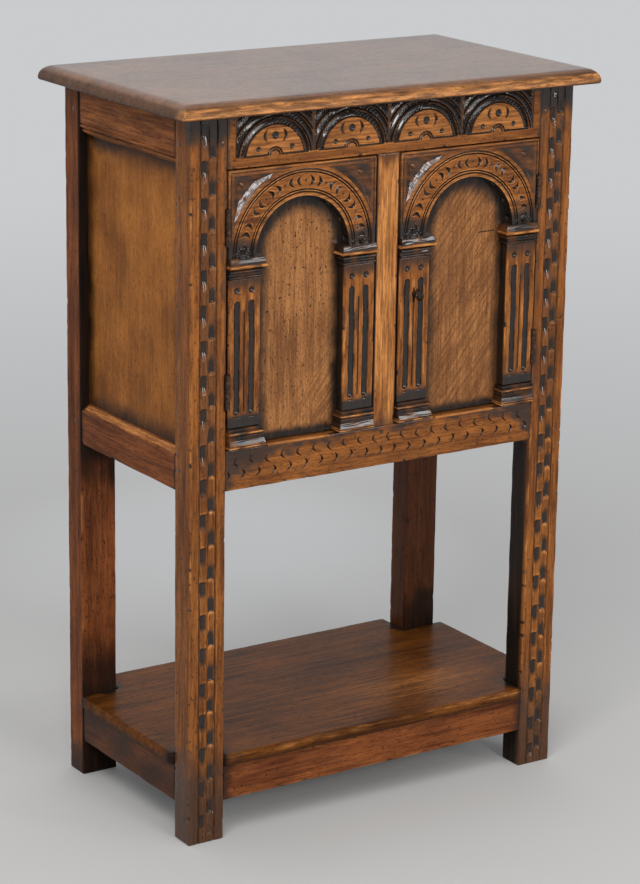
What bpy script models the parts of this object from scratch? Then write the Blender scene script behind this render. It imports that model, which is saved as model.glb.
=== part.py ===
"""Side cabinet on tall legs: a joined oak cupboard with a lunette frieze and two arcaded doors.

Metres, +Z up, front towards -Y, left towards -X, origin on the floor at the middle of the carcass.
"""

from math import cos, pi, radians, sin, sqrt

import bmesh
import bpy
from mathutils import Matrix, Vector

MM = 0.001

# Fits
CLEARANCE = 0.3 * MM
OVERCUT = 2 * MM
ROUND_STEPS = 16
DISH_STEPS = 12
NOTCH_STEPS = 6
LOCK_STEPS = 24
BOW_STEPS = 20
WIRE_STEPS = 8

# Carcass
CARCASS_WIDTH = 560 * MM
CARCASS_DEPTH = 308 * MM
LEG_WIDTH = 50 * MM
LEG_DEPTH = 36 * MM
LEG_HEIGHT = 914 * MM
FOOT_WEAR = 3 * MM
RAIL_THICKNESS = 25 * MM
TENON_THICKNESS = 10 * MM
TENON_WEB = 6 * MM
SIDE_TENON_COVER = 11 * MM
SIDE_RAIL_SETBACK = 1 * MM

# Levels of the rails
FRIEZE_HEIGHT = 65 * MM
SIDE_TOP_RAIL_HEIGHT = 62 * MM
CUPBOARD_LEVEL = 504.6 * MM
BOTTOM_RAIL_HEIGHT = 51 * MM
SIDE_RAIL_RISE = 1.4 * MM
SIDE_RAIL_CHAMFER = 8 * MM
APRON_LEVEL = 51.3 * MM
SIDE_APRON_LEVEL = 47.7 * MM
RAIL_BEAD = 3 * MM

# Boards and panels
TOP_THICKNESS = 18.6 * MM
TOP_SIDE_OVERHANG = 25 * MM
TOP_FRONT_OVERHANG = 26 * MM
TOP_CORNER_RADIUS = 4 * MM
TOP_EDGE_FILLET = 3 * MM
SHELF_LEVEL = 111.7 * MM
SHELF_THICKNESS = 14 * MM
SHELF_NOSE = 5.4 * MM
SHELF_BACK = 15.5 * MM
SHELF_LEFT = 6 * MM
SHELF_RIGHT = 13 * MM
SHELF_CORNER_RADIUS = 7 * MM
PANEL_THICKNESS = 10 * MM
PANEL_RECESS = 12 * MM
PANEL_TONGUE = 8 * MM
BACK_PANEL_THICKNESS = 8 * MM
FLOOR_THICKNESS = 12 * MM
FLOOR_DROP = 12 * MM
FLOOR_TONGUE = 6 * MM
MUNTIN_WIDTH = 33 * MM
MUNTIN_TENON_WIDTH = 20 * MM
MUNTIN_TENON_LENGTH = 10 * MM
STOP_THICKNESS = 12 * MM
STOP_REACH = 10 * MM
STOP_SEAT = 30 * MM

# Doors
DOOR_GAP = 2 * MM
DOOR_PROUD = 1 * MM
PLANTED_THICKNESS = 14 * MM
PILASTER_WIDTH = 45 * MM
CAPITAL_HEIGHT = 25 * MM
BASE_HEIGHT = 25 * MM
MOULDING_PROJECTION = 6.5 * MM
ARCH_CROWN = 2 * MM
ARCH_MARGIN = 1.25 * MM
ARCHIVOLT_WIDTH = 37 * MM
ARCHIVOLT_FILLET = 6 * MM
ARCHIVOLT_GROOVE = 2.5 * MM
ARCHIVOLT_GROOVE_DEPTH = 2 * MM
SPANDREL_BORDER = 7 * MM
SPANDREL_DEPTH = 4 * MM
ARCH_STEPS = 28
FLUTE_WIDTH = 8.5 * MM
FLUTE_DEPTH = 3.2 * MM
FLUTE_SPACING = 21 * MM
FLUTE_TOP_MARGIN = 27 * MM
FLUTE_FOOT_MARGIN = 16 * MM
REED_GROOVE_WIDTH = 2.4 * MM
REED_GROOVE_DEPTH = 1.5 * MM
DIMPLE_RADIUS = 4.5 * MM
DIMPLE_DEPTH = 2.2 * MM
DIMPLE_DROP = 14.5 * MM

# Carving of the frieze and legs
FRIEZE_MARGIN = 12 * MM
FRIEZE_STRIP = 12.5 * MM
LUNETTE_DROP = 4.8 * MM
LUNETTE_HEADROOM = 1.8 * MM
LUNETTE_LEAST_GAP = 6 * MM
LUNETTE_CHANNEL = 7.4 * MM
LUNETTE_RIDGE = 2.8 * MM
FRIEZE_TOP_STRIP = 5 * MM
FRIEZE_DEPTH = 4 * MM
FAN_LEAF_WIDTH = 3 * MM
FAN_FOOT_ANGLE = 12
FAN_HEAD_ANGLE = 76
LUNETTE_STEPS = 16
EYE_RADIUS = 4.6 * MM
EYE_DEPTH = 2.3 * MM
EYE_DROP = 12.5 * MM
NOTCH_WIDTH = 8 * MM
NOTCH_LENGTH = 23 * MM
NOTCH_PITCH = 42.6 * MM
NOTCH_DEPTH = 3 * MM
NOTCH_COLUMN_GAP = 11 * MM
NOTCH_COLUMN_MARGIN = 20 * MM
NOTCH_TOP_MARGIN = 11 * MM
NOTCH_STAGGER = 19 * MM
NOTCH_FOOT_MARGIN = 12 * MM

# Hinges
HINGE_LENGTH = 44 * MM
HINGE_LEAF_WIDTH = 18 * MM
HINGE_LEAF_THICKNESS = 1.4 * MM
HINGE_AXIS_PROUD = 1.5 * MM
KNUCKLE_RADIUS = 3.5 * MM
PIN_RADIUS = 1.5 * MM
PIN_TIP = 1.5 * MM
UPPER_HINGE_DROP = 67.5 * MM
LOWER_HINGE_RISE = 71.5 * MM

# Lock, key and turn button
LOCK_DROP = 45.9 * MM
LOCK_CASE_WIDTH = 40 * MM
LOCK_CASE_HEIGHT = 62 * MM
LOCK_CASE_THICKNESS = 13 * MM
LOCK_CASE_EDGE = 1.5 * MM
BOLT_LENGTH = 30 * MM
BOLT_HEIGHT = 10 * MM
BOLT_THICKNESS = 4.2 * MM
BOLT_ABOVE_KEY = 4 * MM
KEY_SHANK_RADIUS = 2.2 * MM
KEY_BIT_REACH = 9.5 * MM
KEY_BIT_WIDTH = 2.5 * MM
KEY_BIT_LENGTH = 5 * MM
KEY_BOW_STANDOFF = 3 * MM
KEY_BOW_LENGTH = 18 * MM
KEY_BOW_WIDTH = 16 * MM
KEY_BOW_WIRE = 1.5 * MM
BUTTON_LENGTH = 40 * MM
BUTTON_WIDTH = 12 * MM
BUTTON_THICKNESS = 6 * MM
BUTTON_INSET = 10.5 * MM
SCREW_RADIUS = 2 * MM
SCREW_HEAD_RADIUS = 4 * MM
SCREW_HEAD_HEIGHT = 2 * MM
SCREW_DEPTH = 9 * MM

# Places worked out from the sizes above
LEFT, RIGHT, FRONT, BACK = -1, 1, -1, 1
HALF_WIDTH = CARCASS_WIDTH / 2
HALF_DEPTH = CARCASS_DEPTH / 2
BAY_HALF_WIDTH = HALF_WIDTH - LEG_WIDTH
BAY_HALF_DEPTH = HALF_DEPTH - LEG_DEPTH
RAIL_MIDDLE = HALF_DEPTH - RAIL_THICKNESS / 2
RAIL_INSIDE = HALF_DEPTH - RAIL_THICKNESS
SIDE_RAIL_OUTSIDE = HALF_WIDTH - SIDE_RAIL_SETBACK
SIDE_RAIL_INSIDE = SIDE_RAIL_OUTSIDE - RAIL_THICKNESS
SIDE_RAIL_MIDDLE = SIDE_RAIL_OUTSIDE - RAIL_THICKNESS / 2
FRONT_TENON = LEG_WIDTH - SIDE_RAIL_SETBACK - (RAIL_THICKNESS + TENON_THICKNESS) / 2 - TENON_WEB
SIDE_TENON = LEG_DEPTH - SIDE_TENON_COVER
TENON_SHOULDER = PANEL_TONGUE
FRIEZE_LEVEL = LEG_HEIGHT - FRIEZE_HEIGHT
SIDE_TOP_LEVEL = LEG_HEIGHT - SIDE_TOP_RAIL_HEIGHT
BOTTOM_RAIL_LEVEL = CUPBOARD_LEVEL - BOTTOM_RAIL_HEIGHT
SIDE_RAIL_TOP = CUPBOARD_LEVEL + SIDE_RAIL_RISE
SIDE_PANEL_OUTSIDE = HALF_WIDTH - PANEL_RECESS
SHELF_UNDERSIDE = SHELF_LEVEL - SHELF_THICKNESS
APRON_TOP = SHELF_UNDERSIDE - CLEARANCE
LONG_RAIL_SPANS = (
    (FRIEZE_LEVEL, LEG_HEIGHT),
    (BOTTOM_RAIL_LEVEL, CUPBOARD_LEVEL),
    (APRON_LEVEL, APRON_TOP),
)
SIDE_RAIL_SPANS = (
    (SIDE_TOP_LEVEL, LEG_HEIGHT),
    (BOTTOM_RAIL_LEVEL, SIDE_RAIL_TOP),
    (SIDE_APRON_LEVEL, APRON_TOP),
)
FLOOR_TOP = CUPBOARD_LEVEL - FLOOR_DROP
FLOOR_UNDERSIDE = FLOOR_TOP - FLOOR_THICKNESS

DOOR_EDGE = BAY_HALF_WIDTH - DOOR_GAP
DOOR_WIDTH = DOOR_EDGE - MUNTIN_WIDTH / 2 - DOOR_GAP
DOOR_BOTTOM = CUPBOARD_LEVEL + DOOR_GAP
DOOR_TOP = FRIEZE_LEVEL - DOOR_GAP
DOOR_FRONT = -HALF_DEPTH - DOOR_PROUD
PLANTED_BACK = DOOR_FRONT + PLANTED_THICKNESS
DOOR_PANEL_FRONT = PLANTED_BACK + CLEARANCE
DOOR_BACK = -RAIL_INSIDE
ARCH_OUTER = DOOR_WIDTH / 2 - ARCH_MARGIN
ARCH_INNER = ARCH_OUTER - ARCHIVOLT_WIDTH
SPRINGING = DOOR_TOP - ARCH_CROWN - ARCH_OUTER
CAPITAL_BOTTOM = SPRINGING - CLEARANCE - CAPITAL_HEIGHT
BASE_TOP = DOOR_BOTTOM + BASE_HEIGHT
PILASTER_BOTTOM = BASE_TOP + CLEARANCE
PILASTER_TOP = CAPITAL_BOTTOM - CLEARANCE

HINGE_X = BAY_HALF_WIDTH - DOOR_GAP / 2
HINGE_Y = -HALF_DEPTH - HINGE_AXIS_PROUD
HINGE_LEVELS = {"upper": DOOR_TOP - UPPER_HINGE_DROP, "lower": DOOR_BOTTOM + LOWER_HINGE_RISE}
BORE_RADIUS = PIN_RADIUS + CLEARANCE
LEAF_RECESS = HINGE_LEAF_THICKNESS + 2 * CLEARANCE
KEY_LEVEL = PILASTER_TOP - LOCK_DROP
KEY_X = DOOR_EDGE - DOOR_WIDTH + PILASTER_WIDTH / 2
LOCK_FRONT = DOOR_BACK + CLEARANCE
BOLT_BACK = LOCK_FRONT + CLEARANCE + BOLT_THICKNESS
KEY_TIP = BOLT_BACK + 3 * CLEARANCE + KEY_BIT_LENGTH
BUTTON_X = -(DOOR_EDGE - DOOR_WIDTH + BUTTON_INSET)


# Shapes

def rectangle(u0, v0, u1, v1):
    """The four corners of an upright rectangle."""
    return [(u0, v0), (u1, v0), (u1, v1), (u0, v1)]


def arc(centre, radius, start, end, steps):
    """Points along a circle between two angles in degrees, both ends included."""
    turns = [radians(start + (end - start) * i / steps) for i in range(steps + 1)]
    return [(centre[0] + radius * cos(a), centre[1] + radius * sin(a)) for a in turns]


def rounded(corners, radius, steps=4):
    """An outline of upright right-angled corners with the outward ones rounded."""
    outline = []
    for i, here in enumerate(corners):
        before, after = Vector(corners[i - 1]), Vector(corners[(i + 1) % len(corners)])
        here = Vector(here)
        into, out = (here - before).normalized(), (after - here).normalized()
        if into.cross(out) <= 0:
            outline.append(tuple(here))
            continue
        centre = here - into * radius + out * radius
        for k in range(steps + 1):
            turn = k * pi / 2 / steps
            outline.append(tuple(centre - out * radius * cos(turn) + into * radius * sin(turn)))
    return outline


PLANES = {
    "X": lambda u, v, w: (w, u, v),
    "Y": lambda u, v, w: (u, w, v),
    "Z": lambda u, v, w: (u, v, w),
}


def loft(loops):
    """A closed skin through loops with as many points each, capped at both ends."""
    shape = bmesh.new()
    rings = [[shape.verts.new(point) for point in loop] for loop in loops]
    for low, high in zip(rings, rings[1:]):
        for i in range(len(low)):
            j = (i + 1) % len(low)
            shape.faces.new((low[i], low[j], high[j], high[i]))
    shape.faces.new(rings[0])
    shape.faces.new(rings[-1])
    bmesh.ops.recalc_face_normals(shape, faces=shape.faces)
    return shape


def prism(outline, axis, start, end):
    """An outline in the plane across an axis, carried along it."""
    place = PLANES[axis]
    return loft([[place(u, v, w) for u, v in outline] for w in (start, end)])


def block(one, other):
    """An upright box between two opposite corners."""
    low = [min(a, b) for a, b in zip(one, other)]
    high = [max(a, b) for a, b in zip(one, other)]
    return prism(rectangle(low[0], low[1], high[0], high[1]), "Z", low[2], high[2])


def turned(profile, axis, centre, steps=ROUND_STEPS):
    """A profile of (radius, height) pairs turned about an axis, flat at both ends."""
    place = PLANES[axis]
    circle = [2 * pi * i / steps for i in range(steps)]
    u, v = centre
    return loft([[place(u + r * cos(a), v + r * sin(a), h) for a in circle] for r, h in profile])


def rod(radius, axis, centre, start, end, steps=ROUND_STEPS):
    """A plain round bar."""
    return turned([(radius, start), (radius, end)], axis, centre, steps)


def dish(radius, depth, centre, face):
    """A shallow round punch mark in a face that looks towards -Y, as a cutter."""
    ball = (radius * radius + depth * depth) / (2 * depth)
    middle = face + depth - ball
    tilts = [radians(t) for t in (25, 50, 75, 90)]
    profile = [(ball * sin(t), middle + ball * cos(t)) for t in tilts]
    return turned(profile, "Y", centre, DISH_STEPS)


def together(shapes):
    """Several separate shapes in one mesh."""
    whole = bmesh.new()
    for shape in shapes:
        mesh = bpy.data.meshes.new("shape")
        shape.to_mesh(mesh)
        whole.from_mesh(mesh)
        bpy.data.meshes.remove(mesh)
    return whole


# Pieces and their finishes

FINISHES = {}


def finish(name, colour, roughness, metallic=0.0):
    """One of the cabinet's finishes, a Principled material."""
    material = bpy.data.materials.new(name)
    material.use_nodes = True
    shader = material.node_tree.nodes["Principled BSDF"]
    shader.inputs["Base Color"].default_value = (*colour, 1.0)
    shader.inputs["Roughness"].default_value = roughness
    shader.inputs["Metallic"].default_value = metallic
    material.diffuse_color = (*colour, 1.0)
    FINISHES[name] = material


def place(name, shape, material, axis=None):
    """A named piece of the cabinet, carried by a joint's empty where it moves."""
    mesh = bpy.data.meshes.new(name)
    shape.to_mesh(mesh)
    piece = bpy.data.objects.new(name, mesh)
    mesh.materials.append(FINISHES[material])
    bpy.context.scene.collection.objects.link(piece)
    if axis:
        piece.parent = axis
        piece.matrix_parent_inverse = Matrix.Translation(-axis.location)
    return piece


def joint(name, position, parent=None):
    """An empty on a joint's axis."""
    empty = bpy.data.objects.new(name, None)
    bpy.context.scene.collection.objects.link(empty)
    empty.location = position
    if parent:
        empty.parent = parent
        empty.matrix_parent_inverse = Matrix.Translation(-parent.location)
    return empty


def combine(piece, operation, shapes):
    """Cuts shapes out of a piece, or joins them to it, one Boolean for each."""
    for shape in shapes:
        tool = place(f"{piece.name}_{operation.lower()}_{len(piece.modifiers)}", shape, "oak")
        tool.hide_render = True
        tool.display_type = "WIRE"
        step = piece.modifiers.new(operation.lower(), "BOOLEAN")
        step.operation = operation
        step.solver = "EXACT"
        step.object = tool


def cut(piece, *shapes):
    combine(piece, "DIFFERENCE", shapes)


def join(piece, *shapes):
    combine(piece, "UNION", shapes)


# Carcass

def tenon_span(low, high):
    """The part of a rail's height that its tenons take."""
    return low + TENON_SHOULDER, high - TENON_SHOULDER


def long_mortise(side, end, low, high):
    """A mortise in a leg for a front or back rail."""
    middle = end * RAIL_MIDDLE
    half = TENON_THICKNESS / 2 + CLEARANCE
    bottom, top = tenon_span(low, high)
    inner = side * (BAY_HALF_WIDTH - OVERCUT)
    deep = side * (BAY_HALF_WIDTH + FRONT_TENON + CLEARANCE)
    return block((inner, middle - half, bottom - CLEARANCE), (deep, middle + half, top + CLEARANCE))


def side_mortise(side, end, low, high):
    """A mortise in a leg for a side rail."""
    middle = side * SIDE_RAIL_MIDDLE
    half = TENON_THICKNESS / 2 + CLEARANCE
    bottom, top = tenon_span(low, high)
    inner = end * (BAY_HALF_DEPTH - OVERCUT)
    deep = end * (BAY_HALF_DEPTH + SIDE_TENON + CLEARANCE)
    return block((middle - half, inner, bottom - CLEARANCE), (middle + half, deep, top + CLEARANCE))


def panel_groove_in_leg(side, end):
    """The groove in a leg that holds the upright edge of a side panel."""
    outside = side * (SIDE_PANEL_OUTSIDE + CLEARANCE)
    inside = side * (SIDE_PANEL_OUTSIDE - PANEL_THICKNESS - CLEARANCE)
    inner = end * (BAY_HALF_DEPTH - OVERCUT)
    deep = end * (BAY_HALF_DEPTH + PANEL_TONGUE)
    low, high = SIDE_RAIL_TOP - PANEL_TONGUE, SIDE_TOP_LEVEL + PANEL_TONGUE
    return block((outside, inner, low), (inside, deep, high))


def back_groove_in_leg(side):
    """The groove in a back leg that holds the upright edge of the back panel."""
    half = BACK_PANEL_THICKNESS / 2 + CLEARANCE
    inner = side * (BAY_HALF_WIDTH - OVERCUT)
    deep = side * (BAY_HALF_WIDTH + PANEL_TONGUE)
    low, high = CUPBOARD_LEVEL - PANEL_TONGUE, FRIEZE_LEVEL + PANEL_TONGUE
    return block((inner, RAIL_MIDDLE - half, low), (deep, RAIL_MIDDLE + half, high))


def notch(x, low, round_end):
    """One gouge notch of a leg's carving: straight across one end and round at the other."""
    half = NOTCH_WIDTH / 2
    shank = NOTCH_LENGTH - half
    if round_end > 0:
        outline = [(x - half, low), (x + half, low)] + arc((x, low + shank), half, 0, 180, NOTCH_STEPS)
    else:
        outline = [(x + half, low + NOTCH_LENGTH), (x - half, low + NOTCH_LENGTH)]
        outline += arc((x, low + half), half, 180, 360, NOTCH_STEPS)
    return prism(outline, "Y", -HALF_DEPTH - OVERCUT, -HALF_DEPTH + NOTCH_DEPTH)


def leg_notches(side):
    """The two staggered columns of notches down a front leg's face."""
    outer = HALF_WIDTH - NOTCH_COLUMN_MARGIN
    columns = sorted((side * outer, side * (outer - NOTCH_COLUMN_GAP)))
    first = LEG_HEIGHT - NOTCH_TOP_MARGIN - NOTCH_LENGTH
    count = int((first - NOTCH_STAGGER - NOTCH_FOOT_MARGIN) / NOTCH_PITCH) + 1
    notches = []
    for k in range(count):
        notches.append(notch(columns[0], first - k * NOTCH_PITCH, -1))
        notches.append(notch(columns[1], first - NOTCH_STAGGER - k * NOTCH_PITCH, 1))
    return together(notches)


def hinge_seat(side, level):
    """The shallow recess in a leg for a hinge leaf, and the room for the knuckle."""
    half = HINGE_LENGTH / 2 + CLEARANCE
    face = side * (BAY_HALF_WIDTH - OVERCUT)
    deep = side * (BAY_HALF_WIDTH + LEAF_RECESS)
    back = HINGE_Y + HINGE_LEAF_WIDTH + CLEARANCE
    return block((face, HINGE_Y, level - half), (deep, back, level + half)), knuckle_room(side, level)


def knuckle_room(side, level):
    """The round hollow that lets a hinge's knuckle and pin tips turn clear of the wood."""
    half = HINGE_LENGTH / 2 + PIN_TIP + CLEARANCE
    return rod(KNUCKLE_RADIUS + CLEARANCE, "Z", (side * HINGE_X, HINGE_Y), level - half, level + half)


def make_leg(name, side, end):
    """A leg, worn round at the foot, with its mortises, grooves and, at the front, its carving."""
    centre_x = side * (HALF_WIDTH - LEG_WIDTH / 2)
    centre_y = end * (HALF_DEPTH - LEG_DEPTH / 2)

    def level(z, worn):
        half_x, half_y = LEG_WIDTH / 2 - worn, LEG_DEPTH / 2 - worn
        corners = rectangle(centre_x - half_x, centre_y - half_y, centre_x + half_x, centre_y + half_y)
        return [(x, y, z) for x, y in corners]

    foot = [level(0, FOOT_WEAR), level(FOOT_WEAR / 2, FOOT_WEAR / 3), level(1.5 * FOOT_WEAR, 0)]
    leg = place(name, loft(foot + [level(LEG_HEIGHT, 0)]), "oak")
    for low, high in LONG_RAIL_SPANS:
        cut(leg, long_mortise(side, end, low, high))
    for low, high in SIDE_RAIL_SPANS:
        cut(leg, side_mortise(side, end, low, high))
    cut(leg, panel_groove_in_leg(side, end))
    if end == BACK:
        cut(leg, back_groove_in_leg(side))
        return
    for hinge_level in HINGE_LEVELS.values():
        cut(leg, *hinge_seat(side, hinge_level))
    cut(leg, leg_notches(side))


def make_long_rail(name, end, low, high):
    """A front or back rail with a tenon at each end."""
    reach = BAY_HALF_WIDTH - CLEARANCE
    rail = place(name, block((-reach, end * HALF_DEPTH, low), (reach, end * RAIL_INSIDE, high)), "oak")
    half = TENON_THICKNESS / 2
    bottom, top = tenon_span(low, high)
    for side in (LEFT, RIGHT):
        root = (side * (reach - TENON_WEB), end * RAIL_MIDDLE - half, bottom)
        join(rail, block(root, (side * (BAY_HALF_WIDTH + FRONT_TENON), end * RAIL_MIDDLE + half, top)))
    return rail


def make_side_rail(name, side, profile, low, high):
    """A side rail: its section carried along the depth, with a tenon at each end."""
    reach = BAY_HALF_DEPTH - CLEARANCE
    rail = place(name, prism([(side * x, z) for x, z in profile], "Y", -reach, reach), "oak")
    half = TENON_THICKNESS / 2
    bottom, top = tenon_span(low, high)
    for end in (FRONT, BACK):
        root = (side * SIDE_RAIL_MIDDLE - half, end * (reach - TENON_WEB), bottom)
        tip = (side * SIDE_RAIL_MIDDLE + half, end * (BAY_HALF_DEPTH + SIDE_TENON), top)
        join(rail, block(root, tip))
    return rail


def side_panel_groove(side, low, high):
    """The groove in a side rail's edge for the panel."""
    reach = BAY_HALF_DEPTH + OVERCUT
    outside = side * (SIDE_PANEL_OUTSIDE + CLEARANCE)
    inside = side * (SIDE_PANEL_OUTSIDE - PANEL_THICKNESS - CLEARANCE)
    return block((outside, -reach, low), (inside, reach, high))


def back_panel_groove(low, high):
    """The groove in a back rail's edge for the back panel."""
    half = BACK_PANEL_THICKNESS / 2 + CLEARANCE
    reach = BAY_HALF_WIDTH + OVERCUT
    return block((-reach, RAIL_MIDDLE - half, low), (reach, RAIL_MIDDLE + half, high))


def floor_groove(across, inside):
    """The groove in a bottom rail's inner face for the edge of the cupboard floor."""
    low, high = FLOOR_UNDERSIDE - CLEARANCE, FLOOR_TOP + CLEARANCE
    side = 1 if inside > 0 else -1
    near, deep = inside - side * OVERCUT, inside + side * FLOOR_TONGUE
    if across == "X":
        reach = BAY_HALF_DEPTH + OVERCUT
        return block((near, -reach, low), (deep, reach, high))
    reach = BAY_HALF_WIDTH + OVERCUT
    return block((-reach, near, low), (reach, deep, high))


def muntin_mortise(low, high):
    """The mortise in a front rail for the muntin's tenon."""
    half_x = MUNTIN_TENON_WIDTH / 2 + CLEARANCE
    half_y = TENON_THICKNESS / 2 + CLEARANCE
    return block((-half_x, -RAIL_MIDDLE - half_y, low), (half_x, -RAIL_MIDDLE + half_y, high))


def lunette_cuts():
    """The sunk ground of the frieze: a channel round each half disc, and the fans between."""
    ground = FRIEZE_LEVEL + FRIEZE_STRIP
    centre_z = ground - LUNETTE_DROP
    top = LEG_HEIGHT - FRIEZE_TOP_STRIP
    ridge = top - LUNETTE_HEADROOM - centre_z
    channel = ridge - LUNETTE_RIDGE
    disc = channel - LUNETTE_CHANNEL
    span = 2 * (BAY_HALF_WIDTH - FRIEZE_MARGIN)
    count = int(span // (2 * ridge + LUNETTE_LEAST_GAP))
    pitch = span / count
    front, deep = -HALF_DEPTH - OVERCUT, -HALF_DEPTH + FRIEZE_DEPTH
    shapes = []

    def rise(radius):
        """The angle at which a circle of the lunette leaves the strip."""
        return 180 / pi * (LUNETTE_DROP / radius)

    for k in range(count):
        x = -BAY_HALF_WIDTH + FRIEZE_MARGIN + pitch * (k + 0.5)
        outer = arc((x, centre_z), channel, rise(channel), 180 - rise(channel), LUNETTE_STEPS)
        inner = arc((x, centre_z), disc, 180 - rise(disc), rise(disc), LUNETTE_STEPS)
        shapes.append(prism(outer + inner, "Y", front, deep))
        shapes.append(dish(EYE_RADIUS, EYE_DEPTH, (x, centre_z + disc - EYE_DROP), -HALF_DEPTH))
        for fan_side in (LEFT, RIGHT):
            meeting = x + fan_side * (pitch / 2 - FAN_LEAF_WIDTH / 2)
            edge = arc((x, centre_z), ridge, FAN_FOOT_ANGLE, FAN_HEAD_ANGLE, LUNETTE_STEPS // 2)
            edge = [(x + fan_side * (u - x), v) for u, v in edge]
            corners = [(edge[-1][0], top), (meeting, top), (meeting, edge[0][1])]
            shapes.append(prism(edge + corners, "Y", front, deep))
    return together(shapes)


def make_rails():
    """Every rail of the frame, from the frieze down to the aprons under the shelf."""
    frieze = make_long_rail("frieze_rail", FRONT, FRIEZE_LEVEL, LEG_HEIGHT)
    cut(frieze, muntin_mortise(FRIEZE_LEVEL - OVERCUT, FRIEZE_LEVEL + MUNTIN_TENON_LENGTH))
    cut(frieze, lunette_cuts())
    back_top = make_long_rail("back_top_rail", BACK, FRIEZE_LEVEL, LEG_HEIGHT)
    cut(back_top, back_panel_groove(FRIEZE_LEVEL - OVERCUT, FRIEZE_LEVEL + PANEL_TONGUE))
    front_bottom = make_long_rail("front_bottom_rail", FRONT, BOTTOM_RAIL_LEVEL, CUPBOARD_LEVEL)
    cut(front_bottom, muntin_mortise(CUPBOARD_LEVEL - MUNTIN_TENON_LENGTH, CUPBOARD_LEVEL + OVERCUT))
    cut(front_bottom, floor_groove("Y", -RAIL_INSIDE))
    back_bottom = make_long_rail("back_bottom_rail", BACK, BOTTOM_RAIL_LEVEL, CUPBOARD_LEVEL)
    cut(back_bottom, back_panel_groove(CUPBOARD_LEVEL - PANEL_TONGUE, CUPBOARD_LEVEL + OVERCUT))
    cut(back_bottom, floor_groove("Y", RAIL_INSIDE))
    make_long_rail("front_apron", FRONT, APRON_LEVEL, APRON_TOP)
    make_long_rail("back_apron", BACK, APRON_LEVEL, APRON_TOP)

    out, inn, low = SIDE_RAIL_OUTSIDE, SIDE_RAIL_INSIDE, SIDE_TOP_LEVEL
    bead = RAIL_BEAD
    moulded = [(inn, low), (out - 3 * bead, low), (out - 3 * bead, low + bead), (out - 2 * bead, low + bead)]
    moulded += arc((out - 2 * bead, low + 2 * bead), bead, -90, 60, 4)
    moulded += [(out - bead, low + 3.5 * bead), (out, low + 3.5 * bead), (out, low + 4.5 * bead)]
    moulded += [(out - bead / 2, low + 4.8 * bead), (out, low + 5.2 * bead)]
    moulded += [(out, LEG_HEIGHT), (inn, LEG_HEIGHT)]
    chamfer = SIDE_RAIL_TOP - SIDE_RAIL_CHAMFER
    chamfered = [(inn, BOTTOM_RAIL_LEVEL), (out, BOTTOM_RAIL_LEVEL), (out, chamfer)]
    chamfered += [(SIDE_PANEL_OUTSIDE + 2 * CLEARANCE, SIDE_RAIL_TOP), (inn, SIDE_RAIL_TOP)]
    plain = rectangle(inn, SIDE_APRON_LEVEL, out, APRON_TOP)
    for word, side in (("left", LEFT), ("right", RIGHT)):
        top = make_side_rail(f"{word}_top_rail", side, moulded, *SIDE_RAIL_SPANS[0])
        cut(top, side_panel_groove(side, low - OVERCUT, low + PANEL_TONGUE))
        bottom = make_side_rail(f"{word}_bottom_rail", side, chamfered, *SIDE_RAIL_SPANS[1])
        cut(bottom, side_panel_groove(side, SIDE_RAIL_TOP - PANEL_TONGUE, SIDE_RAIL_TOP + OVERCUT))
        cut(bottom, floor_groove("X", side * SIDE_RAIL_INSIDE))
        make_side_rail(f"{word}_apron", side, plain, *SIDE_RAIL_SPANS[2])


def make_panels():
    """The side panels, the back panel and the cupboard floor, each held in grooves."""
    tongue = PANEL_TONGUE - CLEARANCE
    low, high = SIDE_RAIL_TOP - tongue, SIDE_TOP_LEVEL + tongue
    reach = BAY_HALF_DEPTH + tongue
    for word, side in (("left", LEFT), ("right", RIGHT)):
        outside, inside = side * SIDE_PANEL_OUTSIDE, side * (SIDE_PANEL_OUTSIDE - PANEL_THICKNESS)
        place(f"{word}_panel", block((outside, -reach, low), (inside, reach, high)), "panel_oak")
    half = BACK_PANEL_THICKNESS / 2
    reach = BAY_HALF_WIDTH + tongue
    low, high = CUPBOARD_LEVEL - tongue, FRIEZE_LEVEL + tongue
    back = block((-reach, RAIL_MIDDLE - half, low), (reach, RAIL_MIDDLE + half, high))
    place("back_panel", back, "panel_oak")
    tongue = FLOOR_TONGUE - CLEARANCE
    wide, deep = SIDE_RAIL_INSIDE + tongue, RAIL_INSIDE + tongue
    bay_x, bay_y = BAY_HALF_WIDTH - CLEARANCE, BAY_HALF_DEPTH - CLEARANCE
    outline = cross(-wide, wide, -deep, deep, bay_x, bay_y)
    place("floor_board", prism(outline, "Z", FLOOR_UNDERSIDE, FLOOR_TOP), "oak")


def cross(left, right, front, back, bay_x, bay_y):
    """The outline of a board notched round all four legs."""
    return [
        (-bay_x, front), (bay_x, front), (bay_x, -bay_y), (right, -bay_y), (right, bay_y), (bay_x, bay_y),
        (bay_x, back), (-bay_x, back), (-bay_x, bay_y), (left, bay_y), (left, -bay_y), (-bay_x, -bay_y),
    ]


def make_muntin():
    """The upright between the doors, tenoned into the frieze and the rail below."""
    half = MUNTIN_WIDTH / 2
    low, high = CUPBOARD_LEVEL + CLEARANCE, FRIEZE_LEVEL - CLEARANCE
    muntin = place("muntin", block((-half, -HALF_DEPTH, low), (half, -RAIL_INSIDE, high)), "oak")
    half_x, half_y = MUNTIN_TENON_WIDTH / 2, TENON_THICKNESS / 2
    tenon = MUNTIN_TENON_LENGTH - CLEARANCE
    for start, tip in ((high - TENON_WEB, FRIEZE_LEVEL + tenon), (low + TENON_WEB, CUPBOARD_LEVEL - tenon)):
        join(muntin, block((-half_x, -RAIL_MIDDLE - half_y, start), (half_x, -RAIL_MIDDLE + half_y, tip)))


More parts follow.
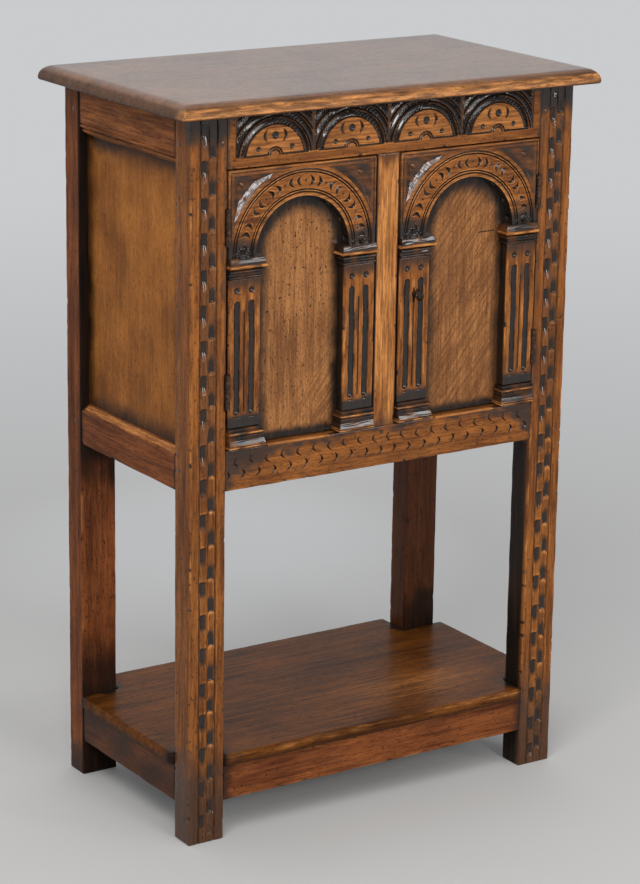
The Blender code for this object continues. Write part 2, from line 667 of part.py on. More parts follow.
def make_door_stop():
    """The batten behind the frieze that both doors close against."""
    reach = BAY_HALF_WIDTH - CLEARANCE
    front = -RAIL_INSIDE + CLEARANCE
    low, high = FRIEZE_LEVEL - STOP_REACH, FRIEZE_LEVEL + STOP_SEAT
    place("door_stop", block((-reach, front, low), (reach, front + STOP_THICKNESS, high)), "oak")


def make_top():
    """The top board, with an ovolo worked round all four edges under a small fillet."""
    half_x = HALF_WIDTH + TOP_SIDE_OVERHANG
    half_y = HALF_DEPTH + TOP_FRONT_OVERHANG
    underside = LEG_HEIGHT + CLEARANCE
    drop = TOP_THICKNESS - TOP_EDGE_FILLET
    turns = [radians(90 * k / 6) for k in range(7)]
    quarter = [(drop * (1 - cos(t)), underside + TOP_EDGE_FILLET + drop * sin(t)) for t in turns]
    profile = [(TOP_EDGE_FILLET, underside), (0, underside + TOP_EDGE_FILLET / 2)] + quarter

    def level(inset, z):
        corners = rectangle(-half_x + inset, -half_y + inset, half_x - inset, half_y - inset)
        return [(x, y, z) for x, y in rounded(corners, TOP_CORNER_RADIUS)]

    place("top_board", loft([level(inset, z) for inset, z in profile]), "top_oak")


def make_shelf():
    """The pot shelf, notched round the legs, its outward corners and nose worn round."""
    bay_x, bay_y = BAY_HALF_WIDTH - CLEARANCE, BAY_HALF_DEPTH - CLEARANCE
    left, right = -HALF_WIDTH - SHELF_LEFT, HALF_WIDTH + SHELF_RIGHT
    corners = cross(left, right, -HALF_DEPTH - SHELF_NOSE, HALF_DEPTH + SHELF_BACK, bay_x, bay_y)
    outline = rounded(corners, SHELF_CORNER_RADIUS)
    place("shelf_board", prism(outline, "Z", SHELF_UNDERSIDE, SHELF_LEVEL), "shelf_oak")


# Doors

def door_point(side, inward):
    """The X of a point a distance inward from a door's hinge edge."""
    return side * (DOOR_EDGE - inward)


def door_leaf_seat(side, level):
    """The recess in a door's edge for a hinge leaf, and the room for the knuckle."""
    half = HINGE_LENGTH / 2 + CLEARANCE
    face = side * (DOOR_EDGE + OVERCUT)
    deep = side * (DOOR_EDGE - LEAF_RECESS)
    back = HINGE_Y + HINGE_LEAF_WIDTH + CLEARANCE
    return block((face, HINGE_Y, level - half), (deep, back, level + half)), knuckle_room(side, level)


def keyhole(front, back):
    """A keyhole: a round hole with a slot below it for the bit."""
    radius = KEY_SHANK_RADIUS + CLEARANCE
    half = KEY_BIT_WIDTH / 2 + CLEARANCE
    foot = KEY_LEVEL - KEY_BIT_REACH - CLEARANCE
    outline = arc((KEY_X, KEY_LEVEL), radius, -45, 225, 9)
    outline += [(KEY_X - half, KEY_LEVEL - radius), (KEY_X - half, foot), (KEY_X + half, foot)]
    outline += [(KEY_X + half, KEY_LEVEL - radius)]
    return prism(outline, "Y", front, back)


def make_door_panel(word, side, axis):
    """The board at the back of a door that carries the arcade."""
    near = (door_point(side, 0), DOOR_PANEL_FRONT, DOOR_BOTTOM)
    far = (door_point(side, DOOR_WIDTH), DOOR_BACK, DOOR_TOP)
    panel = place(f"{word}_door_panel", block(near, far), "panel_oak", axis)
    for level in HINGE_LEVELS.values():
        cut(panel, door_leaf_seat(side, level)[0])
    if side == RIGHT:
        cut(panel, keyhole(DOOR_PANEL_FRONT - OVERCUT, DOOR_BACK + OVERCUT))
    else:
        deep = DOOR_BACK - SCREW_DEPTH - CLEARANCE
        cut(panel, rod(SCREW_RADIUS + CLEARANCE, "Y", (BUTTON_X, KEY_LEVEL), deep, DOOR_BACK + OVERCUT))


def make_arch(word, side, axis):
    """The arch board: a round-headed archivolt between two incised bands, and sunk spandrels."""
    middle = door_point(side, DOOR_WIDTH / 2)
    left, right = middle - DOOR_WIDTH / 2, middle + DOOR_WIDTH / 2
    centre = (middle, SPRINGING)
    outline = [(right, SPRINGING), (right, DOOR_TOP), (left, DOOR_TOP), (left, SPRINGING)]
    outline += arc(centre, ARCH_INNER, 180, 0, ARCH_STEPS)
    arch = place(f"{word}_arch", prism(outline, "Y", DOOR_FRONT, PLANTED_BACK), "carved_oak", axis)
    front = DOOR_FRONT - OVERCUT
    border_x = DOOR_WIDTH / 2 - SPANDREL_BORDER
    border_z = DOOR_TOP - SPANDREL_BORDER - SPRINGING
    low = sqrt(ARCH_OUTER ** 2 - border_x ** 2)
    near = sqrt(ARCH_OUTER ** 2 - border_z ** 2)
    start = 180 / pi * Vector((1, 0)).angle(Vector((border_x, low)))
    end = 180 / pi * Vector((1, 0)).angle(Vector((near, border_z)))
    edge = arc((0, 0), ARCH_OUTER, end, start, ARCH_STEPS // 4) + [(border_x, border_z)]
    for hand in (LEFT, RIGHT):
        spandrel = [(middle + hand * u, SPRINGING + v) for u, v in edge]
        cut(arch, prism(spandrel, "Y", front, DOOR_FRONT + SPANDREL_DEPTH))
    bands = []
    for inner in (ARCH_INNER + ARCHIVOLT_FILLET, ARCH_OUTER - ARCHIVOLT_FILLET - ARCHIVOLT_GROOVE):
        outer = inner + ARCHIVOLT_GROOVE
        ring = arc(centre, outer, 4, 176, ARCH_STEPS) + arc(centre, inner, 176, 4, ARCH_STEPS)
        bands.append(prism(ring, "Y", front, DOOR_FRONT + ARCHIVOLT_GROOVE_DEPTH))
    cut(arch, together(bands))
    cut(arch, *door_leaf_seat(side, HINGE_LEVELS["upper"]))


def flute(x, low, high):
    """A stopped flute: a round-ended hollow in a pilaster's face."""
    half = FLUTE_WIDTH / 2
    radius = (half * half + FLUTE_DEPTH * FLUTE_DEPTH) / (2 * FLUTE_DEPTH)
    y = DOOR_FRONT + FLUTE_DEPTH - radius
    tilts = [radians(t) for t in (15, 45, 90)]
    head = [(radius * sin(t), high - radius + radius * cos(t)) for t in tilts]
    foot = [(radius * sin(t), low + radius - radius * cos(t)) for t in tilts]
    return turned(foot + head[::-1], "Z", (x, y))


def make_pilaster(word, hand, side, inward, axis):
    """A pilaster with two flutes, a fine groove between them and two punched dimples above."""
    x0, x1 = door_point(side, inward), door_point(side, inward + PILASTER_WIDTH)
    middle = (x0 + x1) / 2
    body = block((x0, DOOR_FRONT, PILASTER_BOTTOM), (x1, PLANTED_BACK, PILASTER_TOP))
    pilaster = place(f"{word}_{hand}_pilaster", body, "carved_oak", axis)
    low, high = PILASTER_BOTTOM + FLUTE_FOOT_MARGIN, PILASTER_TOP - FLUTE_TOP_MARGIN
    spots = [middle - FLUTE_SPACING / 2, middle + FLUTE_SPACING / 2]
    dimple = PILASTER_TOP - DIMPLE_DROP
    marks = [flute(x, low, high) for x in spots]
    marks += [dish(DIMPLE_RADIUS, DIMPLE_DEPTH, (x, dimple), DOOR_FRONT) for x in spots]
    cut(pilaster, together(marks))
    half = REED_GROOVE_WIDTH / 2
    has_lock = side == RIGHT and hand == "inner"
    reed_top = KEY_LEVEL - 2 * KEY_BIT_REACH if has_lock else high
    deep = DOOR_FRONT + REED_GROOVE_DEPTH
    cut(pilaster, block((middle - half, DOOR_FRONT - OVERCUT, low), (middle + half, deep, reed_top)))
    if has_lock:
        cut(pilaster, keyhole(DOOR_FRONT - OVERCUT, PLANTED_BACK + OVERCUT))
    if hand == "outer":
        cut(pilaster, *door_leaf_seat(side, HINGE_LEVELS["lower"]))


def moulding(side, inward, returns_inward, profile):
    """A planted moulding that breaks forward and returns on the side towards the arch."""
    x0, x1 = door_point(side, inward), door_point(side, inward + PILASTER_WIDTH)
    turn = -side if returns_inward else side
    fixed, free = (x0, x1) if returns_inward else (x1, x0)
    loops = []
    for out, z in profile:
        edge, front = free + turn * out, DOOR_FRONT - out
        corners = (fixed, PLANTED_BACK), (edge, PLANTED_BACK), (edge, front), (fixed, front)
        loops.append([(x, y, z) for x, y in corners])
    return loft(loops)


def capital_profile():
    """Capital section from the necking up to the abacus, as (projection, level) pairs."""
    p, h, z = MOULDING_PROJECTION, CAPITAL_HEIGHT, CAPITAL_BOTTOM
    roll = [(p * (0.25 + 0.2 * sin(t)), z + h * (0.14 - 0.12 * cos(t))) for t in (0.3, pi / 2, pi - 0.3)]
    turns = (0, pi / 3, 2 * pi / 3, pi)
    cyma = [(p * (0.3 + 0.45 * (1 - cos(t)) / 2), z + h * (0.34 + 0.26 * t / pi)) for t in turns]
    slab = [(p * 0.85, z + h * 0.66), (p, z + h * 0.7), (p, z + h * 0.94), (p * 0.9, z + h)]
    return [(0, z)] + roll + cyma + slab


def base_profile():
    """Base section from the plinth up to the pilaster's foot, as (projection, level) pairs."""
    p, h, z = MOULDING_PROJECTION, BASE_HEIGHT, DOOR_BOTTOM
    plinth = [(p, z), (p, z + h * 0.26), (p * 0.85, z + h * 0.34)]
    hollow = [(p * (0.5 - 0.25 * sin(t)), z + h * (0.52 - 0.1 * cos(t))) for t in (0.2, pi / 2, pi - 0.2)]
    torus = [(p * (0.45 + 0.2 * sin(t)), z + h * (0.8 - 0.16 * cos(t))) for t in (0.3, pi / 2, pi - 0.3)]
    return plinth + hollow + torus + [(0.15 * p, z + h)]


def make_door(word, side):
    """One door, hung on its pins: panel, arch, pilasters, capitals and bases."""
    axis = joint(f"{word}_door_axis", (side * HINGE_X, HINGE_Y, (DOOR_BOTTOM + DOOR_TOP) / 2))
    make_door_panel(word, side, axis)
    make_arch(word, side, axis)
    for hand, inward in (("outer", 0), ("inner", DOOR_WIDTH - PILASTER_WIDTH)):
        make_pilaster(word, hand, side, inward, axis)
        for part, profile in (("capital", capital_profile()), ("base", base_profile())):
            shape = moulding(side, inward, hand == "outer", profile)
            place(f"{word}_{hand}_{part}", shape, "carved_oak", axis)
    return axis


# Hinges

def knuckle(side, low, high):
    """One barrel of a hinge."""
    return rod(KNUCKLE_RADIUS, "Z", (side * HINGE_X, HINGE_Y), low, high)


def leaf_plate(side, towards_leg, level):
    """The flat plate of a hinge leaf, from its knuckles back along the leg or the door's edge."""
    middle = DOOR_GAP / 2 + CLEARANCE
    offset = middle if towards_leg else -middle
    thick = HINGE_LEAF_THICKNESS if towards_leg else -HINGE_LEAF_THICKNESS
    x0, x1 = side * (HINGE_X + offset), side * (HINGE_X + offset + thick)
    half = HINGE_LENGTH / 2
    start = HINGE_Y + (KNUCKLE_RADIUS + BORE_RADIUS) / 2
    return block((x0, start, level - half), (x1, HINGE_Y + HINGE_LEAF_WIDTH, level + half))


def make_hinge(word, place_word, side, level, axis):
    """A butt hinge: a leaf on the leg with two knuckles, a leaf on the door with one, and the pin."""
    bottom, top = level - HINGE_LENGTH / 2, level + HINGE_LENGTH / 2
    third = HINGE_LENGTH / 3
    centre = (side * HINGE_X, HINGE_Y)
    bore = (BORE_RADIUS, "Z", centre, bottom - OVERCUT, top + OVERCUT)
    room = (KNUCKLE_RADIUS + CLEARANCE, "Z", centre)
    name = f"{word}_{place_word}_hinge"

    leg_leaf = place(f"{name}_leg_leaf", leaf_plate(side, True, level), "aged_iron")
    cut(leg_leaf, rod(*room, bottom + third, top - third))
    join(leg_leaf, knuckle(side, bottom, bottom + third), knuckle(side, top - third, top))
    cut(leg_leaf, rod(*bore))

    door_leaf = place(f"{name}_door_leaf", leaf_plate(side, False, level), "aged_iron", axis)
    cut(door_leaf, rod(*room, bottom - OVERCUT, bottom + third), rod(*room, top - third, top + OVERCUT))
    join(door_leaf, knuckle(side, bottom + third + CLEARANCE, top - third - CLEARANCE))
    cut(door_leaf, rod(*bore))

    tip = PIN_RADIUS / 2
    profile = [(tip, bottom - PIN_TIP), (PIN_RADIUS, bottom - PIN_TIP / 2)]
    profile += [(PIN_RADIUS, top + PIN_TIP / 2), (tip, top + PIN_TIP)]
    place(f"{name}_pin", turned(profile, "Z", centre), "aged_iron")


# Lock, key and turn button

def make_lock(door_axis):
    """The rim lock on the right door's back: its case, the bolt in its channel and the key."""
    edge = DOOR_EDGE - DOOR_WIDTH + LOCK_CASE_EDGE
    half = LOCK_CASE_HEIGHT / 2
    back = LOCK_FRONT + LOCK_CASE_THICKNESS
    body = block((edge, LOCK_FRONT, KEY_LEVEL - half), (edge + LOCK_CASE_WIDTH, back, KEY_LEVEL + half))
    case = place("lock_case", body, "aged_iron", door_axis)
    bolt_low = KEY_LEVEL + BOLT_ABOVE_KEY
    bolt_high = bolt_low + BOLT_HEIGHT
    mouth = (edge - OVERCUT, LOCK_FRONT - OVERCUT, bolt_low - CLEARANCE)
    channel_end = (edge + BOLT_LENGTH + CLEARANCE, BOLT_BACK + CLEARANCE, bolt_high + CLEARANCE)
    centre = (KEY_X, KEY_LEVEL)
    cavity = rod(KEY_BIT_REACH + 2 * CLEARANCE, "Y", centre, BOLT_BACK, KEY_TIP + CLEARANCE, LOCK_STEPS)
    cut(case, block(mouth, channel_end), keyhole(LOCK_FRONT - OVERCUT, BOLT_BACK + CLEARANCE), cavity)

    bolt_middle = (edge, (LOCK_FRONT + BOLT_BACK) / 2, (bolt_low + bolt_high) / 2)
    bolt_axis = joint("lock_bolt_axis", bolt_middle, door_axis)
    bolt = block((edge, LOCK_FRONT + CLEARANCE, bolt_low), (edge + BOLT_LENGTH, BOLT_BACK, bolt_high))
    place("lock_bolt", bolt, "aged_iron", bolt_axis)
    make_key(door_axis)


def make_key(door_axis):
    """The key: a shank through the door with a collar, an oval bow in front and the bit behind."""

    key_axis = joint("key_axis", (KEY_X, DOOR_FRONT, KEY_LEVEL), door_axis)
    bow_back = DOOR_FRONT - KEY_BOW_STANDOFF
    bow_middle = bow_back - KEY_BOW_LENGTH / 2
    centre = (KEY_X, KEY_LEVEL)
    collar = KEY_SHANK_RADIUS + KEY_BOW_WIRE / 2
    shank = [(KEY_SHANK_RADIUS, KEY_TIP), (KEY_SHANK_RADIUS, DOOR_FRONT - CLEARANCE)]
    shank += [(collar, DOOR_FRONT - 2 * CLEARANCE), (collar, bow_back)]
    shank += [(KEY_SHANK_RADIUS, bow_back - KEY_BOW_WIRE)]
    key = place("key", turned(shank, "Y", centre, DISH_STEPS), "aged_iron", key_axis)
    join(key, key_bow(bow_middle))
    half = KEY_BIT_WIDTH / 2
    bit_root = (KEY_X - half, KEY_TIP - KEY_BIT_LENGTH, KEY_LEVEL - KEY_SHANK_RADIUS / 2)
    join(key, block(bit_root, (KEY_X + half, KEY_TIP, KEY_LEVEL - KEY_BIT_REACH)))


def key_bow(middle):
    """The key's oval bow: a round wire carried along an ellipse in the upright plane of the shank."""
    shape = bmesh.new()
    rings = []
    half_length, half_width = KEY_BOW_LENGTH / 2 - KEY_BOW_WIRE, KEY_BOW_WIDTH / 2 - KEY_BOW_WIRE
    for i in range(BOW_STEPS):
        t = 2 * pi * i / BOW_STEPS
        outward = Vector((0, cos(t) / half_length, sin(t) / half_width)).normalized()
        core = Vector((KEY_X, middle + half_length * cos(t), KEY_LEVEL + half_width * sin(t)))
        turns = [2 * pi * k / WIRE_STEPS for k in range(WIRE_STEPS)]
        around = [cos(a) * outward + sin(a) * Vector((1, 0, 0)) for a in turns]
        rings.append([shape.verts.new(core + KEY_BOW_WIRE * direction) for direction in around])
    for i in range(BOW_STEPS):
        here, after = rings[i], rings[(i + 1) % BOW_STEPS]
        for k in range(WIRE_STEPS):
            n = (k + 1) % WIRE_STEPS
            shape.faces.new((here[k], here[n], after[n], after[k]))
    bmesh.ops.recalc_face_normals(shape, faces=shape.faces)
    return shape


def make_turn_button(door_axis):
    """The turn button inside the left door, which swings behind the muntin, and its screw."""
    axis = joint("turn_button_axis", (BUTTON_X, DOOR_BACK, KEY_LEVEL), door_axis)
    front = DOOR_BACK + CLEARANCE
    back = front + BUTTON_THICKNESS
    half, reach = BUTTON_WIDTH / 2, BUTTON_LENGTH / 2 - BUTTON_WIDTH / 2
    outline = arc((BUTTON_X, KEY_LEVEL + reach), half, 0, 180, ROUND_STEPS // 2)
    outline += arc((BUTTON_X, KEY_LEVEL - reach), half, 180, 360, ROUND_STEPS // 2)
    button = place("turn_button", prism(outline, "Y", front, back), "oak", axis)
    centre = (BUTTON_X, KEY_LEVEL)
    cut(button, rod(SCREW_RADIUS + CLEARANCE, "Y", centre, front - OVERCUT, back + OVERCUT))
    head = back + CLEARANCE
    profile = [(SCREW_RADIUS / 3, DOOR_BACK - SCREW_DEPTH), (SCREW_RADIUS, DOOR_BACK - SCREW_DEPTH / 2)]
    profile += [(SCREW_RADIUS, head), (SCREW_HEAD_RADIUS, head)]
    profile += [(SCREW_HEAD_RADIUS / 2, head + SCREW_HEAD_HEIGHT)]
    place("turn_button_screw", turned(profile, "Y", centre), "aged_iron", door_axis)


def main():
    for old in list(bpy.data.objects):
        bpy.data.objects.remove(old)
    finish("oak", (0.28, 0.12, 0.045), 0.42)
    finish("carved_oak", (0.2, 0.08, 0.03), 0.4)
    finish("panel_oak", (0.3, 0.15, 0.055), 0.45)
    finish("top_oak", (0.22, 0.12, 0.06), 0.5)
    finish("shelf_oak", (0.13, 0.055, 0.025), 0.3)
    finish("aged_iron", (0.06, 0.05, 0.045), 0.5, 1.0)
    make_top()
    for end_word, end in (("front", FRONT), ("back", BACK)):
        for word, side in (("left", LEFT), ("right", RIGHT)):
            make_leg(f"{end_word}_{word}_leg", side, end)
    make_rails()
    make_panels()
    make_muntin()
    make_door_stop()
    make_shelf()
    for word, side in (("left", LEFT), ("right", RIGHT)):
        axis = make_door(word, side)
        for place_word, level in HINGE_LEVELS.items():
            make_hinge(word, place_word, side, level, axis)
        if side == RIGHT:
            make_lock(axis)
        else:
            make_turn_button(axis)


main()
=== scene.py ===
"""Oak side cabinet: the carved surfaces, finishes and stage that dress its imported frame.

Metres, +Z up, front towards -Y, left towards -X. Every carved or worn piece is a surface worked out on a
grid. It rides on a body of the frame and stands where the piece that it replaces stands. The other pieces of
the frame keep their shapes and get finishes here.
"""

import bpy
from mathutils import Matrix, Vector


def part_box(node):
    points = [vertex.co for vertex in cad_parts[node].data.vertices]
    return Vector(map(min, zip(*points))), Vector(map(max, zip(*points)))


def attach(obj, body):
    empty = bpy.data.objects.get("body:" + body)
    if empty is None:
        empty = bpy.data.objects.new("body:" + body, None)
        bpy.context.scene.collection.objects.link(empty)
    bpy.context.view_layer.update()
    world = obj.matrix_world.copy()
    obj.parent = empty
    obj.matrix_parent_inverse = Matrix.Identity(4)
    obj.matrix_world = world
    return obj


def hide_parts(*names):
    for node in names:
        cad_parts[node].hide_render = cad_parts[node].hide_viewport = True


bl_info = {
    "name": "Oak side cabinet",
    "version": (1, 0, 0),
    "blender": (4, 5, 0),
    "location": "View3D > Sidebar > Cabinet",
    "description": "Carves, finishes and stages a joined oak cabinet around its packed frame",
    "category": "Add Mesh",
}

from math import pi, radians

import bpy
import numpy as np
from bpy.props import FloatProperty, FloatVectorProperty, IntProperty, PointerProperty
from mathutils import Matrix, Vector

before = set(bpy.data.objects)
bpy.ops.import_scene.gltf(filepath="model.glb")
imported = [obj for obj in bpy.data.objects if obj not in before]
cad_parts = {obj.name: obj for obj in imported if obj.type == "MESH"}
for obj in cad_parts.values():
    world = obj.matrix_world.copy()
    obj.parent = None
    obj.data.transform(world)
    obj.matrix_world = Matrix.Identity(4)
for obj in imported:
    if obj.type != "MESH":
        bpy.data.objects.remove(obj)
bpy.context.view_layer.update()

MM = 0.001
TINY = 1e-6

# Steps of a rounded corner, a worn end and a filled face, waves in a ripple, and the angle of a sharp edge
BEND_STEPS = 5
END_STEPS = 4
FILL_STEPS = 16
WAVES = 7
SHARP = radians(48)

# Places read from the frame
LEFT_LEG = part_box("front_left_leg")
RIGHT_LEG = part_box("front_right_leg")
BAY = LEFT_LEG[1].x, RIGHT_LEG[0].x
SIDE_BAY = LEFT_LEG[1].y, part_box("back_left_leg")[0].y
FRONT = LEFT_LEG[0].y
FRIEZE_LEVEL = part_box("frieze_rail")[0].z
CUPBOARD_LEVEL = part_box("front_bottom_rail")[1].z
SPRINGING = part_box("left_arch")[0].z
SIDES = {"left": -1, "right": 1}

# Lays: the world axes that run across the shown face, into the wood and along the length
UPRIGHT = np.array([(1, 0, 0), (0, 1, 0), (0, 0, 1)], float)
UPRIGHT_BEHIND = np.array([(1, 0, 0), (0, -1, 0), (0, 0, 1)], float)
CROSSWISE = np.array([(0, 0, 1), (0, 1, 0), (1, 0, 0)], float)
CROSSWISE_BEHIND = np.array([(0, 0, 1), (0, -1, 0), (1, 0, 0)], float)
ALONG_SIDE = {
    "left": np.array([(0, 0, 1), (1, 0, 0), (0, 1, 0)], float),
    "right": np.array([(0, 0, 1), (-1, 0, 0), (0, 1, 0)], float),
}

# Places of single marks and of the ornament, given one by one, in metres from the frame's origin
NOTCH_STARTS = {"left": (880 * MM, 863 * MM), "right": (860 * MM, 838 * MM)}
NOTCHES_BEGIN = 8 * MM, 16 * MM
NOTCHES_END = 909 * MM, 902 * MM
CRESCENT_ROWS = (-147 * MM, 10.5 * MM, 1), (-204.5 * MM, -5.5 * MM, -1)
SCRATCHES = (611 * MM, 0.12, 36 * MM), (600 * MM, -0.05, 44 * MM), (583 * MM, 0.16, 30 * MM)
CRACK_LEVEL = 0.733
CRACK_BEGINS = 0.143, 0.150
CRACK_ENDS = 0.176, 0.170
# Centre of a painted glow on the shelf, a pool of light that falls between the legs
SHELF_GLOW = 0.12, -0.07

# An arch board: margin outside the archivolt, its width, and a spandrel's stud from the arch's centre
ARCH_MARGIN = 1.25 * MM
ARCHIVOLT = 37 * MM
STUD_PLACE = 0.0845, 0.087
STUD_RADIUS = 3.4 * MM

# Lamps: where each stands, its size and the setting that holds its power. All are turned to one point
LAMPS = {
    "key_softbox": ((-1.8, -1.7, 2.8), 1.5, "key_power"),
    "front_softbox": ((0.0, -3.2, 1.55), 0.55, "front_power"),
    "fill_softbox": ((0.1, -2.9, 2.25), 1.3, "fill_power"),
    "right_softbox": ((1.7, -2.75, 1.25), 0.6, "right_power"),
}
LAMP_AIM = Vector((0, 0, 0.62))
LIGHT_POOL = 0.40, 0.90, 0


# Settings that a user would change

def length(name, description, millimetres):
    """A size that is shown in the sidebar, given in millimetres and kept in metres."""
    return FloatProperty(
        name=name, description=description, default=millimetres * MM, precision=4, unit="LENGTH"
    )


def power(name, description, watts):
    """A lamp's power that is shown in the sidebar."""
    return FloatProperty(name=name, description=description, default=watts, unit="POWER")


def bearing(name, description, turn):
    """An angle that is shown in the sidebar, in radians."""
    return FloatProperty(name=name, description=description, default=turn, unit="ROTATION")


def colour(name, description, *rgb):
    """A linear colour that is shown in the sidebar."""
    return FloatVectorProperty(
        name=name, description=description, default=rgb, size=3, min=0, max=1, subtype="COLOR"
    )


class CarvingSizes(bpy.types.PropertyGroup):
    """Sizes of the carved ornament."""

    grid: length("Grid", "Spacing of the points on a carved face", 0.7)
    arris: length("Arris", "Radius to which a long edge has worn", 1.5)
    notch_width: length("Notch width", "Across one gouge notch of a leg", 9.5)
    notch_length: length("Notch length", "From the stop cut of a notch to its run-out", 28)
    notch_depth: length("Notch depth", "Deepest cut of a notch", 3.4)
    notch_columns: length("Notch columns", "Between the two columns of notches on a leg", 11.2)
    left_pitch: length("Left leg pitch", "From notch to notch on the left leg", 43.4)
    right_pitch: length("Right leg pitch", "From notch to notch on the right leg", 39)
    lunettes: IntProperty(name="Lunettes", description="Half discs along the frieze", default=4, min=1)
    frieze_margin: length("Frieze margin", "Plain strip at each end of the frieze", 12)
    frieze_strip: length("Frieze strip", "Plain strip below the lunettes", 12.5)
    lunette_drop: length("Lunette drop", "How far a lunette's centre lies below its ground line", 4.8)
    disc_radius: length("Disc radius", "Radius of the plain half disc", 40.3)
    channel_width: length("Bevel width", "Width of a sunk bevel round a disc", 7.4)
    ridge_width: length("Ridge width", "Width of the thin ridge outside a bevel", 2.8)
    frieze_depth: length("Frieze depth", "Depth of the sunk ground of the frieze", 4)
    crescent_pitch: length("Crescent pitch", "From stab to stab along the bottom rail", 22.3)
    crescent_height: length("Crescent height", "Height of one crescent stab", 13.5)
    crescent_width: length("Crescent width", "Width of one crescent stab", 8)
    arch_fillet: length("Arch fillet", "Plain band along each edge of an archivolt", 4.8)
    arch_groove: length("Arch groove", "Width of the pair of lines inside each fillet", 3.2)
    spandrel_border: length("Spandrel border", "Plain strip round a spandrel", 7)
    spandrel_depth: length("Spandrel depth", "Deepest cut of a spandrel", 5)
    flute_width: length("Flute width", "Across one flute of a pilaster", 8.5)
    flute_depth: length("Flute depth", "Depth of a flute", 3.4)
    flute_spacing: length("Flute spacing", "Between the two flutes of a pilaster", 20.6)
    peg_radius: length("Peg radius", "Radius of a joint's draw peg", 3.4)


class OakTones(bpy.types.PropertyGroup):
    """Colours of the woods, the wax in the cuts and the iron."""

    frame_pale: colour("Frame, pale", "Polished oak of the carved frame", 0.335, 0.117, 0.026)
    frame_deep: colour("Frame, deep", "Darker grain of the carved frame", 0.10, 0.032, 0.011)
    dark_pale: colour("Dark frame, pale", "Oak of the plain rails and back legs", 0.282, 0.087, 0.025)
    dark_deep: colour("Dark frame, deep", "Darker grain of that plainer oak", 0.078, 0.021, 0.008)
    panel_pale: colour("Side panel, pale", "Polished oak of the side panels", 0.43, 0.158, 0.032)
    panel_deep: colour("Side panel, deep", "Darker grain of the side panels", 0.17, 0.056, 0.012)
    door_pale: colour("Door panel, pale", "Polished oak of the door panels", 0.40, 0.172, 0.058)
    door_deep: colour("Door panel, deep", "Darker grain of the door panels", 0.15, 0.058, 0.020)
    top_pale: colour("Top, pale", "Dulled oak of the top", 0.25, 0.107, 0.040)
    top_deep: colour("Top, deep", "Darker grain of the top", 0.075, 0.030, 0.013)
    shelf_pale: colour("Shelf, pale", "Oak of the pot shelf", 0.180, 0.056, 0.008)
    shelf_deep: colour("Shelf, deep", "Darker grain of the pot shelf", 0.044, 0.014, 0.0035)
    rubbed: colour("Rubbed oak", "Wood where the polish has been rubbed away", 0.51, 0.210, 0.062)
    # Old wax is also the colour of painted shade: under the cupboard, round the door openings, under the top
    # and round the cuts
    wax: colour("Old wax", "Black wax and dirt in the cuts", 0.0100, 0.0078, 0.0065)
    iron: colour("Iron", "Aged iron of the hinges, lock and key", 0.050, 0.036, 0.028)
    rust: colour("Rust", "Brown bloom on the iron", 0.11, 0.045, 0.020)


class StageSettings(bpy.types.PropertyGroup):
    """The floor, the lamps and the camera."""

    floor: colour("Floor", "Colour of the floor round the cabinet", 0.525, 0.518, 0.503)
    backdrop: colour("Backdrop", "Colour that the floor fades to far away", 0.59, 0.60, 0.615)
    before: colour("Room in front", "Light from the side of the room in front", 0.30, 0.30, 0.305)
    behind: colour("Room behind", "Light from the pale wall behind", 0.78, 0.79, 0.81)
    floor_radius: length("Floor radius", "How far the floor reaches", 30000)
    key_power: power("Key lamp", "Power of the left softbox", 60)
    front_power: power("Front lamp", "Power of the front softbox", 20)
    fill_power: power("Fill lamp", "Power of the wide front softbox", 24)
    right_power: power("Right lamp", "Power of the right softbox", 16)
    lens: FloatProperty(
        name="Lens", description="Focal length on a 36 mm sensor", default=120.27, unit="CAMERA"
    )
    eye: FloatVectorProperty(
        name="Eye", description="Where the camera stands", subtype="XYZ",
        default=(-2.01243, -3.07299, 1.50202),
    )
    turn: bearing("Turn", "Camera's turn about the vertical", -0.5814)
    tilt: bearing("Tilt", "Camera's tilt from level", -0.28015)
    roll: bearing("Roll", "Camera's roll", -0.01552)


# Shader graphs

class Value:
    """A value in a shader graph. Arithmetic on it adds Math nodes."""

    def __init__(self, graph, output):
        self.graph = graph
        self.output = output

    def maths(self, operation, *values):
        return self.graph.node("ShaderNodeMath", {"operation": operation}, dict(enumerate(values)))

    def __add__(self, other):
        return self.maths("ADD", self, other)

    def __mul__(self, other):
        return self.maths("MULTIPLY", self, other)

    def __sub__(self, other):
        return self.maths("SUBTRACT", self, other)

    def __rsub__(self, other):
        return self.maths("SUBTRACT", other, self)

    def __pow__(self, power):
        return self.maths("POWER", self, power)

    def __abs__(self):
        return self.maths("ABSOLUTE", self)

    __radd__ = __add__
    __rmul__ = __mul__

    def least(self, other):
        return self.maths("MINIMUM", self, other)

    def most(self, other):
        return self.maths("MAXIMUM", self, other)

    def smooth(self, low, high):
        """0 below low, 1 above high and an eased slope between; falling where low is the larger."""
        ends = {"From Min": min(low, high), "From Max": max(low, high)}
        ends.update({"To Min": float(low > high), "To Max": float(low < high)})
        settings = {"interpolation_type": "SMOOTHSTEP"}
        return self.graph.node("ShaderNodeMapRange", settings, {"Value": self, **ends})


